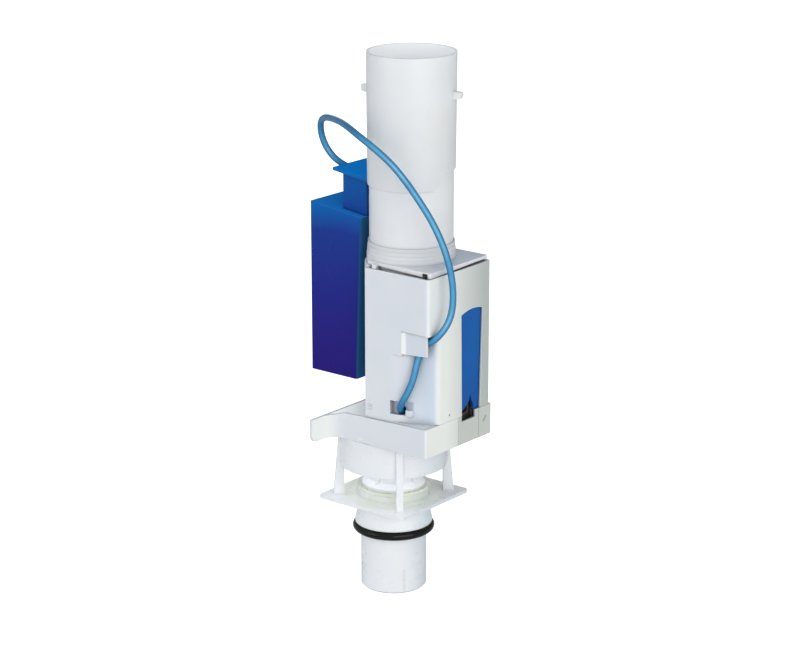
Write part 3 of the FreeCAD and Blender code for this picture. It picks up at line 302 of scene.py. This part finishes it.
# ---------------------------------------------------------------- material helpers
class Shader:
    """A material under construction: keeps the node tree and makes linked nodes in one call."""

    def __init__(self, name):
        self.material = bpy.data.materials.new(name)
        self.material.use_nodes = True
        self.tree = self.material.node_tree
        self.tree.nodes.clear()
        self.output = self.tree.nodes.new("ShaderNodeOutputMaterial")
        self.position = self.add("ShaderNodeTexCoord").outputs["Object"]

    def add(self, kind, inputs=None, **settings):
        node = self.tree.nodes.new(kind)
        for key, value in settings.items():
            setattr(node, key, value)
        for key, value in (inputs or {}).items():
            self.feed(node.inputs[key], value)
        return node

    def feed(self, socket, value):
        if isinstance(value, bpy.types.NodeSocket):
            self.tree.links.new(value, socket)
        else:
            socket.default_value = value

    def noise(self, scale, detail=3.0, roughness=0.55, stretch=(1, 1, 1), distortion=0.0):
        place = self.add("ShaderNodeMapping", {"Vector": self.position, "Scale": stretch})
        inputs = {
            "Vector": place.outputs[0],
            "Scale": scale,
            "Detail": detail,
            "Roughness": roughness,
            "Distortion": distortion,
        }
        return self.add("ShaderNodeTexNoise", inputs).outputs["Fac"]

    def ramp(self, factor, stops):
        node = self.add("ShaderNodeValToRGB", {"Fac": factor})
        elements = node.color_ramp.elements
        while len(elements) < len(stops):
            elements.new(0.5)
        for element, (place, colour) in zip(elements, stops):
            element.position = place
            element.color = (*colour, 1.0)
        return node.outputs["Color"]

    def remap(self, value, low, high, out_low=0.0, out_high=1.0):
        inputs = {
            "Value": value,
            "From Min": low,
            "From Max": high,
            "To Min": out_low,
            "To Max": out_high,
        }
        return self.add("ShaderNodeMapRange", inputs).outputs[0]

    def wander(self, scale, detail, low, high, band=MID_BAND):
        """A value that drifts between low and high from place to place."""
        return self.remap(self.noise(scale, detail), *band, low, high)

    def maths(self, operation, a, b):
        return self.add("ShaderNodeMath", {0: a, 1: b}, operation=operation).outputs[0]

    def both(self, a, b):
        return self.maths("MULTIPLY", a, b)

    def inverse(self, mask):
        return self.maths("SUBTRACT", 1.0, mask)

    def mix(self, factor, a, b):
        node = self.add("ShaderNodeMix", data_type="RGBA")
        self.feed(node.inputs["Factor"], factor)
        self.feed(node.inputs["A"], a if isinstance(a, bpy.types.NodeSocket) else (*a, 1.0))
        self.feed(node.inputs["B"], b if isinstance(b, bpy.types.NodeSocket) else (*b, 1.0))
        return node.outputs["Result"]

    def tint(self, base, mask, share, tone):
        """The base with a share of the tone laid over it where the mask is 1."""
        return self.mix(self.both(mask, share), base, tone)

    def clouds(self, scale, tones):
        """Two close tones in soft clouds."""
        return self.mix(self.remap(self.noise(scale, 3.0, 0.5), *CLOUD_BAND), *tones)

    def axis(self, name):
        """Position along X, Y or Z."""
        return self.add("ShaderNodeSeparateXYZ", {"Vector": self.position}).outputs[name]

    def wall_normal(self):
        return self.add("ShaderNodeTexCoord").outputs["Normal"]

    def rounded_normal(self, radius):
        """Softens moulded edges by the given radius, a number or a socket."""
        return self.add("ShaderNodeBevel", {"Radius": radius}, samples=BEVEL_SAMPLES).outputs[0]

    def dot(self, a, b):
        node = self.add("ShaderNodeVectorMath", {0: a, 1: b}, operation="DOT_PRODUCT")
        return node.outputs["Value"]

    def edge_mask(self, radius):
        """1 along sharp edges, 0 on open walls."""
        true_normal = self.add("ShaderNodeNewGeometry").outputs["Normal"]
        alike = self.dot(self.rounded_normal(radius), true_normal)
        return self.remap(alike, *EDGE_ALIKE)

    def facing(self, direction, band=FACING):
        """1 where the wall looks along the given direction, 0 elsewhere."""
        return self.remap(self.dot(self.wall_normal(), direction), *band)

    def openness(self, reach, low, high):
        """1 on open walls, 0 deep inside gaps narrower than the reach."""
        node = self.add("ShaderNodeAmbientOcclusion", {"Distance": reach}, samples=GAP_SAMPLES)
        return self.remap(node.outputs["AO"], low, high)

    def away_from(self, axis_x):
        """The level direction away from the upright line through (axis_x, 0)."""
        shift = self.add("ShaderNodeVectorMath", {0: self.position, 1: (-axis_x, 0.0, 0.0)})
        flat = {0: shift.outputs[0], 1: (1.0, 1.0, 0.0)}
        return self.add("ShaderNodeVectorMath", flat, operation="MULTIPLY").outputs[0]

    def radius_from(self, axis_x):
        """Distance from the upright line through (axis_x, 0)."""
        node = self.add("ShaderNodeVectorMath", {0: self.away_from(axis_x)}, operation="LENGTH")
        return node.outputs["Value"]

    def bore_mask(self, axis_x):
        """1 on walls that face the upright line through (axis_x, 0), such as a tube's bore."""
        away = self.add("ShaderNodeVectorMath", {0: self.away_from(axis_x)}, operation="NORMALIZE")
        return self.remap(self.dot(self.wall_normal(), away.outputs[0]), *FACING_BORE)

    def inside(self, axis, low, high, soft=MASK_SOFT):
        """1 where the position along an axis lies between low and high."""
        value = self.axis(axis)
        above = self.remap(value, low - soft, low + soft)
        below = self.remap(value, high + soft, high - soft)
        return self.both(above, below)

    def inside_column(self, low, high):
        """1 between two corners seen from above."""
        across = self.inside("X", low.x, high.x)
        return self.both(across, self.inside("Y", low.y, high.y, MASK_SHARP))

    def inside_box(self, low, high):
        """1 in the box between two corners."""
        return self.both(self.inside_column(low, high), self.inside("Z", low.z, high.z))

    def bump(self, height, strength, distance, normal=None):
        inputs = {"Height": height, "Strength": strength, "Distance": distance}
        if normal is not None:
            inputs["Normal"] = normal
        return self.add("ShaderNodeBump", inputs).outputs[0]

    def principled(self, inputs):
        """Ends the material with one principled surface."""
        return self.finish(self.add("ShaderNodeBsdfPrincipled", inputs).outputs[0])

    def finish(self, shader_output):
        self.tree.links.new(shader_output, self.output.inputs["Surface"])
        return self.material


def moulded_relief(s, edge_radius, grain=GRAIN_SCALE):
    """Normal of a moulded wall: rounded edges, a slow sink-mark wave and fine spark grain."""
    normal = s.rounded_normal(edge_radius)
    normal = s.bump(s.noise(SINK_WAVE_SCALE, 1.0), RELIEF_STRENGTH, SINK_WAVE_DEPTH, normal)
    return s.bump(s.noise(grain, 2.0), RELIEF_STRENGTH, GRAIN_DEPTH, normal)


def seamless_radius(s, radius, seam_z, wall_x):
    """Edge radius that fades out at a flush seam, so two parts read as one wall there."""
    off_seam = s.maths("ABSOLUTE", s.maths("SUBTRACT", s.axis("Z"), seam_z), 0.0)
    far = s.remap(off_seam, *SEAM_FADE)
    inner = s.remap(s.axis("X"), wall_x, wall_x - SEAM_WALL_FADE)
    return s.both(radius, s.maths("MAXIMUM", far, inner))


def handling_marks(s):
    """Thin, sparse scuffs running mostly along the part."""
    scratches = s.noise(SCUFF_SCALE, 2.0, 0.6, stretch=ALONG_SCUFFS, distortion=0.4)
    patches = s.remap(s.noise(SCUFF_PATCHES, 2.0), *PATCH_BAND)
    return s.both(s.remap(scratches, *SCUFF_BAND), patches)


# ---------------------------------------------------------------- materials
def deck_tones(s, base):
    """The casing's lid: painted bluish shade on its top faces, lighter towards its front corner,
    and painted shadow in the gap below it.
    """
    # painted bluish shade on the top faces, lighter towards the front corner
    height = s.maths("SUBTRACT", s.axis("Z"), DECK_TOP)
    flat = s.both(s.facing(UP), s.remap(height, *DECK_ABOVE))
    base = s.tint(base, flat, s.remap(s.axis("Y"), *DECK_FADE_Y, *DECK_SHARES), DECK_SHADE_TONE)
    # painted shadow in the gap under the lid
    closed = s.inverse(s.openness(*DECK_SHADE_GAP))
    return s.tint(base, s.remap(height, *DECK_BELOW), closed, CAVITY_SHADE_TONE)


def cage_tint(s, base, low, high):
    """Lays a darker, greenish tint on the seat wall inside the cage, between two heights."""
    below_fade, above_fade = CAGE_SOFT
    height = s.axis("Z")
    above = s.remap(height, low - below_fade, low)
    below = s.remap(height, high + above_fade, high)
    band = s.both(s.both(above, below), s.remap(s.radius_from(0.0), *CAGE_RADII))
    return s.tint(base, band, s.wander(CAGE_BLOTCHES, 2.0, *BLOTCH_SHARES, BLOTCH_BAND), CAGE_TINT)


def natural_plastic(
    name,
    clearness,
    roughness=0.34,
    tint_z=None,
    painted_inner_glow=0.0,
    painted_bore_light=0.0,
    cool_side_shade=0.0,
    deck=False,
):
    """Milky natural polypropylene: cloudy, lets some light through, with a painted highlight along
    its edges and painted shade in its gaps.

    tint_z is the height range where a darker, greenish tint is laid inside the cage.
    painted_inner_glow is painted light: an emission that shows most on faces that look up.
    painted_bore_light is painted light: an emission on the bore walls inside the tube's mouth.
    cool_side_shade is the share of painted bluish shade on the walls that face right of the view.
    """
    s = Shader(name)
    base = s.clouds(NATURAL_CLOUDS, (CLEAR, CLEAR_DIM))
    streaks = s.noise(NATURAL_STREAKS, 2.0, 0.5, stretch=ALONG_STREAKS)
    base = s.mix(s.remap(streaks, *STREAK_BAND, 0.0, STREAK_SHARE), base, CLEAR_DIM)
    if tint_z:
        base = cage_tint(s, base, *tint_z)
    # painted shade in narrow gaps
    base = s.tint(base, s.inverse(s.openness(*NATURAL_SHADE_GAP)), CREVICE_SHADE_SHARE, CREVICE_SHADE_TONE)
    if deck:
        base = deck_tones(s, base)
    # painted bluish shade on the walls that face right of the view
    if cool_side_shade:
        base = s.tint(base, s.facing(VIEW_RIGHT, FACING_SIDE_SHADE), cool_side_shade, COOL_SIDE_SHADE_TONE)
    # painted highlight along sharp edges
    base = s.tint(base, s.edge_mask(NATURAL_EDGE_WIDTH), NATURAL_EDGE_SHARE, CLEAR_EDGE_HIGHLIGHT)
    rough = s.wander(NATURAL_SKIN, 3.0, roughness - 0.06, roughness + 0.06)
    normal = moulded_relief(s, NATURAL_ROUND)
    # painted glow: emission on faces that look up, fading away from the front corner, and on the
    # bore inside the tube's mouth
    from_corner = s.maths("ADD", s.axis("X"), s.axis("Y"))
    level = s.both(
        s.remap(s.facing(UP), 0.0, 1.0, *TOP_GLOW_SHARES),
        s.remap(from_corner, *GLOW_CORNER_FADE, *GLOW_CORNER_SHARES),
    )
    mouth = s.remap(s.axis("Z"), *TUBE_MOUTH_Z, 0.0, painted_bore_light)
    bore = s.both(s.bore_mask(TUBE_X), mouth)
    inputs = {
        "Base Color": base,
        "Roughness": s.maths("ADD", rough, s.both(handling_marks(s), NATURAL_SCUFF)),
        "Normal": normal,
        "IOR": 1.49,
        "Subsurface Weight": 0.4,
        "Subsurface Radius": (1.0, 1.0, 0.95),
        "Subsurface Scale": 0.004,
        "Emission Color": base,
        "Emission Strength": s.maths("ADD", s.both(level, painted_inner_glow), bore),
    }
    body = s.add("ShaderNodeBsdfPrincipled", inputs).outputs[0]
    through = s.add("ShaderNodeBsdfTranslucent", {"Color": base, "Normal": normal}).outputs[0]
    return s.finish(s.add("ShaderNodeMixShader", {0: clearness, 1: body, 2: through}).outputs[0])


def casing_tones(s, base):
    """The casing's outer walls, with painted light and shade: the slider side is painted light at
    the front corner and painted shade towards the back; the front has painted shade on the
    recess floor and on the hose hood, a painted highlight on the hood's sloped strip and a
    painted shadow line along the hood's top."""
    # painted light near the front corner of the right-facing wall, painted shade towards its back
    side = s.mix(s.remap(s.axis("Y"), *SIDE_WALL_Y), CORNER_PAINTED_LIGHT_TONE, BACK_PAINTED_SHADE_TONE)
    base = s.mix(s.facing(RIGHT, FACING_SIDE_WALL), base, side)
    # painted shade on the recess floor
    recess = s.both(s.inside("Y", *RECESS_Y), s.facing(FRONT))
    base = s.tint(base, recess, s.remap(s.axis("X"), *RECESS_FADE_X, *RECESS_SHARES), RECESS_SHADE_TONE)
    low, high = HOOD_BOX
    hood = s.inside_box(low, high)
    # painted shade on the hood face, painted highlight on its sloped left strip
    base = s.mix(hood, base, HOOD_SHADE_TONE)
    base = s.tint(base, hood, s.inside("X", low.x, low.x + HOOD_SLOPE_WIDTH), EDGE_HIGHLIGHT_TONE)
    # painted shadow line along the hood's top
    below, above = HOOD_CREASE
    fold = s.inside("Z", high.z + below, high.z + above, MASK_CRISP)
    crease = s.both(s.inside_column(low, high), fold)
    return s.tint(base, crease, CREASE_SHADOW_SHARE, CREASE_SHADOW_TONE)


def white_plastic(
    name,
    tones,
    casing=False,
    gap_shade=0.0,
    reach=0.010,
    painted_bleed_light=0.0,
    edge=EDGE_HIGHLIGHT_TONE,
):
    """Opaque moulding with a satin skin and a painted tone along its sharp edges: a highlight on
    the white, a shade line on the panel.

    casing lays the casing's painted light and shade on its outer walls. gap_shade is how much
    of the colour is lost to painted shade inside gaps narrower than the reach.
    painted_bleed_light is a painted glow on the shaded side of a thin wall.
    """
    s = Shader(name)
    base = s.clouds(WHITE_CLOUDS, tones)
    if casing:
        base = casing_tones(s, base)
    dust = s.wander(DUST_SCALE, 2.0, 0.0, DUST_SHARE, DUST_BAND)
    base = s.mix(dust, base, DUST_TONE)
    # painted tone along sharp edges: a highlight on the white, a shade line on the panel
    base = s.tint(base, s.edge_mask(WHITE_EDGE_WIDTH), WHITE_EDGE_SHARE, edge)
    # painted shade inside gaps narrower than the reach, sparing the tray and the left half
    if gap_shade:
        tray = s.inside_box(*TRAY_BOX)
        # painted lavender shade in the tray
        base = s.mix(tray, base, TRAY_SHADE_TONE)
        spared = s.maths("MAXIMUM", tray, s.inside("X", *LEFT_HALF_X))
        open_wall = s.maths("MAXIMUM", s.openness(reach, *CAVITY_OPEN), spared)
        base = s.tint(base, s.inverse(open_wall), gap_shade, CAVITY_SHADE_TONE)
    rough = s.wander(WHITE_SKIN, 3.0, 0.32, 0.44)
    radius = seamless_radius(s, WHITE_ROUND, SKIRT_TOP, CASE_RIGHT - SEAM_WALL_T)
    inputs = {
        "Base Color": base,
        "Roughness": s.maths("ADD", rough, s.both(handling_marks(s), WHITE_SCUFF)),
        "Normal": moulded_relief(s, radius),
        "IOR": 1.5,
        "Subsurface Weight": 0.12,
        "Subsurface Radius": (1.0, 0.95, 0.85),
        "Subsurface Scale": 0.0012,
    }
    # painted glow: emission on the shaded side of the thin left-hand walls
    if painted_bleed_light:
        shaded = s.remap(s.openness(*BLEED_GAP), *BLEED_FADE, 0.0, painted_bleed_light)
        inputs["Emission Color"] = base
        inputs["Emission Strength"] = s.both(shaded, s.inside("X", *LEFT_HALF_X))
    return s.principled(inputs)


def graded_blue(name, low_z, high_z, stops, roughness, painted_side_light=None, top=None, shine=0.10):
    """Blue plastic whose colour shifts with height, darker and more violet towards the foot, with
    a few pale rubs on its skin.

    painted_side_light is painted light: a paler colour on the walls that face right, towards the
    white casing. top is the painted lighter tone of the faces that look up. shine is the
    strength of the reflections.
    """
    s = Shader(name)
    height = s.remap(s.axis("Z"), low_z, high_z)
    wobble = s.both(s.maths("SUBTRACT", s.noise(BLUE_WOBBLE, 2.0), 0.5), BLUE_WOBBLE_SHARE)
    base = s.ramp(s.maths("ADD", height, wobble), stops)
    # painted light on the walls that face right
    if painted_side_light:
        base = s.mix(s.facing(RIGHT, FACING_SIDE_LIGHT), base, painted_side_light)
    # painted lighter tone on the faces that look up
    if top:
        base = s.mix(s.facing(UP), base, top)
    marks = handling_marks(s)
    base = s.tint(base, marks, BLUE_RUB_SHARE, BLUE_RUB)
    # painted highlight along sharp edges
    base = s.tint(base, s.edge_mask(BLUE_EDGE_WIDTH), BLUE_EDGE_SHARE, BLUE_EDGE_HIGHLIGHT)
    # painted shade in narrow gaps
    base = s.tint(base, s.inverse(s.openness(*BLUE_GAP)), BLUE_CREVICE_SHADE_SHARE, BLUE_CREVICE_SHADE)
    rough = s.wander(BLUE_SKIN, 3.0, roughness - 0.05, roughness + 0.08)
    inputs = {
        "Base Color": base,
        "Roughness": s.maths("ADD", rough, s.both(marks, BLUE_SCUFF)),
        "Normal": moulded_relief(s, BLUE_ROUND, grain=BLUE_GRAIN),
        "IOR": 1.49,
        "Specular IOR Level": s.both(s.inverse(s.facing(UP)), shine),
    }
    return s.principled(inputs)


def hose_plastic():
    """Clear blue tubing: a painted highlight and a pale tone down its middle, deep blue at its
    edges, wet-looking skin.
    """
    s = Shader("hose_blue_clear")
    facing = s.add("ShaderNodeLayerWeight", {"Blend": 0.5}).outputs["Facing"]
    # painted highlight down the middle of the hose, facing the view
    base = s.ramp(facing, HOSE_HIGHLIGHT_STOPS)
    base = s.mix(s.wander(90.0, 2.0, *HOSE_CLOUD_SHARES, (0.4, 0.65)), base, HOSE_CLOUD)
    inputs = {
        "Base Color": base,
        "Roughness": s.wander(200.0, 2.0, 0.12, 0.26),
        "Normal": s.bump(s.noise(420.0, 2.0), 0.2, 0.00004),
        "Coat Weight": 0.12,
        "Coat Roughness": 0.08,
        "IOR": 1.5,
        "Specular IOR Level": 0.25,
        "Subsurface Weight": 0.15,
        "Subsurface Radius": (0.4, 0.8, 1.0),
        "Subsurface Scale": 0.0008,
    }
    return s.principled(inputs)


def black_rubber():
    """Greased black rubber with a faint mould bloom."""
    s = Shader("black_rubber_greased")
    bloom = s.remap(s.noise(45.0, 4.0, 0.6), 0.55, 0.8)
    inputs = {
        "Base Color": s.mix(bloom, *RUBBER),
        "Roughness": s.wander(80.0, 3.0, 0.07, 0.16, CLOUD_BAND),
        "Normal": s.bump(s.noise(300.0, 2.0), 0.15, 0.00003),
        "Specular IOR Level": 0.24,
    }
    return s.principled(inputs)


def seal_silicone():
    """Greenish, half-clear silicone."""
    s = Shader("seal_silicone_clear")
    inputs = {
        "Base Color": s.mix(s.remap(s.noise(60.0, 2.0), 0.4, 0.7), *SILICONE),
        "Roughness": s.wander(150.0, 2.0, 0.22, 0.36),
        "Normal": s.bump(s.noise(900.0, 2.0), 0.25, 0.00003, s.rounded_normal(0.0003)),
        "Subsurface Weight": 0.5,
        "Subsurface Radius": (1.0, 1.0, 0.7),
        "Subsurface Scale": 0.003,
    }
    return s.principled(inputs)


def pin_steel():
    """Bright drawn wire steel with fine lengthwise lines."""
    s = Shader("pin_steel_drawn")
    lines = s.noise(WIRE_LINES, 2.0, 0.5, stretch=ALONG_WIRE)
    inputs = {
        "Base Color": s.mix(s.remap(lines, *MID_BAND), *STEEL),
        "Metallic": 1.0,
        "Roughness": s.remap(lines, *MID_BAND, 0.22, 0.38),
        "Normal": s.bump(lines, 0.3, 0.00002, s.rounded_normal(0.0002)),
    }
    return s.principled(inputs)


def floor_paint():
    """Matt pale studio floor, lit up towards the camera like a white sweep."""
    s = Shader("studio_floor")
    seen = s.add("ShaderNodeLightPath").outputs["Is Camera Ray"]
    inputs = {
        "Base Color": s.mix(s.remap(s.noise(3.0, 2.0), *MID_BAND), *FLOOR_TONES),
        "Roughness": 0.85,
        "Specular IOR Level": 0.1,
        "Emission Color": PLAIN_WHITE,
        "Emission Strength": s.both(seen, FLOOR_GLOW),
    }
    return s.principled(inputs)


LOOKS = {
    # painted glow on the tube's bore, the base and the disc
    "tube": natural_plastic("tube_polypropylene", 0.06, painted_bore_light=0.20),
    # painted bluish shade on the base's right-facing walls
    "base": natural_plastic(
        "base_polypropylene", 0.12, 0.30, tint_z=CAGE_Z, painted_inner_glow=0.22, cool_side_shade=0.45
    ),
    "disc": natural_plastic("disc_polypropylene", 0.12, 0.16, painted_inner_glow=0.42),
    "deck": natural_plastic("deck_polypropylene", 0.06, deck=True),
    # painted light and shade on the casing, painted shade in its gaps
    "white": white_plastic("housing_white", WHITE, casing=True, gap_shade=CASING_GAP_SHADE),
    # painted glow on the skirt's shaded left walls
    "skirt": white_plastic(
        "skirt_white", WHITE, casing=True, gap_shade=CASING_GAP_SHADE, painted_bleed_light=0.24
    ),
    "panel": white_plastic("panel_white", PANEL, edge=PANEL_EDGE_SHADE),
    "inner": white_plastic("inner_acetal", INNER, gap_shade=INNER_GAP_SHADE, reach=INNER_REACH),
    # near-black painted shade on the lever bracket
    "bracket": white_plastic(
        "bracket_acetal_painted_shade", BRACKET_SHADE_TONES, gap_shade=INNER_GAP_SHADE, reach=INNER_REACH
    ),
    # painted light on the float's right side and on the float and cap tops
    "float": graded_blue(
        "float_blue_dyed",
        FLOAT_LOW.z,
        FLOAT_HIGH.z,
        FLOAT_STOPS,
        0.40,
        painted_side_light=FLOAT_SIDE_PAINTED_LIGHT,
        top=FLOAT_TOP_PAINTED_LIGHT,
        shine=0.05,
    ),
    "cap": graded_blue(
        "cap_blue_dyed", FLOAT_HIGH.z, CAP_HIGH.z, CAP_STOPS, 0.45, top=CAP_TOP_PAINTED_LIGHT, shine=0.05
    ),
    "slider": graded_blue("slider_blue_dyed", SLIDER_LOW.z, SLIDER_HIGH.z, SLIDER_STOPS, 0.38),
    "hose": hose_plastic(),
    "rubber": black_rubber(),
    "seal": seal_silicone(),
    "steel": pin_steel(),
}

NODE_LOOKS = {
    "valve_base": "base",
    "top_plate": "deck",
    "lower_tube": "tube",
    "overflow_sleeve": "tube",
    "valve_stem": "tube",
    "valve_disc": "disc",
    "seal_retainer": "disc",
    "base_skirt": "skirt",
    "housing": "white",
    "rear_cover": "white",
    "lower_side_cover": "panel",
    "side_latch": "panel",
    "float_rail": "white",
    "bellows_cup": "inner",
    "bellows_clamp_ring": "inner",
    "lever_bracket": "bracket",
    "lift_lever": "inner",
    "lifter_plate": "inner",
    "hose_elbow": "inner",
    "float_body": "float",
    "float_cap": "cap",
    "volume_slider": "slider",
    "air_hose": "hose",
    "outlet_o_ring": "rubber",
    "tube_o_ring": "rubber",
    "bellows": "rubber",
    "valve_seal": "seal",
    "lever_pin": "steel",
    "lever_pin_clips": "steel",
}


def dress_cad_nodes():
    for name, look in NODE_LOOKS.items():
        node = NODES[name]
        node.data.materials.clear()
        node.data.materials.append(LOOKS[look])


# ---------------------------------------------------------------- folded bellows
def bellows_outline(low, high, outer_r, flange_r):
    """Half-section of the bellows' outside from the flange's rim up, as (radius, height)."""
    top = high.z - BELLOWS_TOP_T
    foot = low.z + BELLOWS_FLANGE_T
    pitch = (top - foot) / BELLOWS_FOLDS
    middle = outer_r - BELLOWS_FOLD_DEPTH / 2
    outline = [(flange_r, low.z), (flange_r, foot)]
    for i in range(BELLOWS_FOLDS * BELLOWS_FOLD_STEPS + 1):
        turn = math.cos(math.tau * i / BELLOWS_FOLD_STEPS)
        bulge = math.copysign(abs(turn) ** BELLOWS_FOLD_SQUARENESS, turn)
        radius = middle - bulge * BELLOWS_FOLD_DEPTH / 2
        outline.append((radius, foot + pitch * i / BELLOWS_FOLD_STEPS))
    outline.append((outer_r - BELLOWS_FOLD_DEPTH - BELLOWS_TOP_INSET, high.z))
    return outline


def make_bellows():
    """Thin rubber bellows with rounded folds, open at its foot and closed at the top."""
    low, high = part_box("bellows")
    centre = (low + high) / 2
    flange_r = (high.x - low.x) / 2
    outer_r = flange_r - BELLOWS_FLANGE_REACH
    outside = bellows_outline(low, high, outer_r, flange_r)
    inside = [(r - BELLOWS_WALL, z) for r, z in reversed(outside[2:-1])]
    section = outside + [(0.0, high.z), (0.0, high.z - BELLOWS_TOP_T)] + inside
    section.append((outside[2][0] - BELLOWS_WALL, low.z))
    bm = bmesh.new()
    verts = [bm.verts.new((centre.x + r, centre.y, z)) for r, z in section]
    edges = [bm.edges.new(pair) for pair in zip(verts, verts[1:] + verts[:1])]
    bmesh.ops.spin(
        bm,
        geom=verts + edges,
        cent=(centre.x, centre.y, 0.0),
        axis=UP,
        angle=math.tau,
        steps=BELLOWS_ROUND_STEPS,
        use_merge=True,
    )
    bmesh.ops.remove_doubles(bm, verts=bm.verts, dist=WELD_DISTANCE)
    bmesh.ops.recalc_face_normals(bm, faces=bm.faces)
    mesh = bpy.data.meshes.new("bellows_folded")
    bm.to_mesh(mesh)
    bm.free()
    mesh.shade_smooth()
    mesh.materials.append(LOOKS["rubber"])
    piece = bpy.data.objects.new("bellows_folded", mesh)
    bpy.context.scene.collection.objects.link(piece)
    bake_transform(piece)
    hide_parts("bellows")


# ---------------------------------------------------------------- stage, light, camera
def make_floor(floor_z):
    mesh = bpy.data.meshes.new("studio_floor")
    bm = bmesh.new()
    bmesh.ops.create_grid(bm, x_segments=2, y_segments=2, size=FLOOR_SIZE)
    bm.to_mesh(mesh)
    bm.free()
    floor = bpy.data.objects.new("studio_floor", mesh)
    floor.location = (0, 0, floor_z)
    mesh.materials.append(floor_paint())
    bpy.context.scene.collection.objects.link(floor)


def aim(item, away):
    """Turns a light or the camera so that it looks against the given direction."""
    item.rotation_mode = "QUATERNION"
    item.rotation_quaternion = away.to_track_quat("Z", "Y")
    bpy.context.scene.collection.objects.link(item)


def area_light(name, direction, size, power, colour, target):
    """A square softbox that looks at the target from the given direction."""
    data = bpy.data.lights.new(name, "AREA")
    data.shape = "SQUARE"
    data.size = size
    data.energy = power
    data.color = colour
    light = bpy.data.objects.new(name, data)
    away = Vector(direction).normalized()
    light.location = target + away * SOFTBOX_DISTANCE
    aim(light, away)


def make_world():
    """Soft light from all round, strongest from the front left; the camera sees plain white."""
    world = bpy.data.worlds.new("studio_world")
    world.use_nodes = True
    nodes, links = world.node_tree.nodes, world.node_tree.links

    def maths(operation, a, b):
        node = nodes.new("ShaderNodeMath")
        node.operation = operation
        for socket, value in zip(node.inputs, (a, b)):
            if isinstance(value, bpy.types.NodeSocket):
                links.new(value, socket)
            else:
                socket.default_value = value
        return node.outputs[0]

    def glow_from(direction, share):
        dot = nodes.new("ShaderNodeVectorMath")
        dot.operation = "DOT_PRODUCT"
        links.new(place.outputs["Generated"], dot.inputs[0])
        dot.inputs[1].default_value = direction
        return maths("MULTIPLY", maths("MAXIMUM", dot.outputs["Value"], 0.0), share)

    place = nodes.new("ShaderNodeTexCoord")
    front = glow_from(FRONT_SKY, AMBIENT_FRONT)
    back = glow_from(BACK_SKY, AMBIENT_BACK)
    zenith = glow_from(UP, AMBIENT_ZENITH)
    strength = maths("ADD", maths("ADD", front, maths("ADD", back, zenith)), AMBIENT)
    light = nodes["Background"]
    light.inputs["Color"].default_value = SKY_TONE
    links.new(strength, light.inputs["Strength"])
    white = nodes.new("ShaderNodeBackground")
    white.inputs["Color"].default_value = PLAIN_WHITE
    path = nodes.new("ShaderNodeLightPath")
    choice = nodes.new("ShaderNodeMixShader")
    links.new(path.outputs["Is Camera Ray"], choice.inputs[0])
    links.new(light.outputs[0], choice.inputs[1])
    links.new(white.outputs[0], choice.inputs[2])
    links.new(choice.outputs[0], nodes["World Output"].inputs["Surface"])
    bpy.context.scene.world = world


def make_camera(centre):
    data = bpy.data.cameras.new("camera")
    data.lens = CAMERA_LENS
    data.sensor_width = CAMERA_SENSOR
    data.clip_start, data.clip_end = CAMERA_CLIP
    camera = bpy.data.objects.new("camera", data)
    flat = math.cos(CAMERA_ELEVATION)
    back = Vector(
        (
            math.sin(CAMERA_AZIMUTH) * flat,
            -math.cos(CAMERA_AZIMUTH) * flat,
            math.sin(CAMERA_ELEVATION),
        )
    )
    camera.location = centre + CAMERA_TARGET_OFFSET + back * CAMERA_DISTANCE
    aim(camera, back)
    bpy.context.scene.camera = camera


def make_stage():
    low, high = CAD_BOX
    centre = (low + high) / 2
    make_floor(low.z - FLOOR_GAP)
    make_world()
    for softbox in SOFTBOXES:
        area_light(*softbox, centre)
    make_camera(centre)
    view = bpy.context.scene.view_settings
    view.view_transform = "Standard"
    view.look = "None"


dress_cad_nodes()
make_bellows()
make_stage()
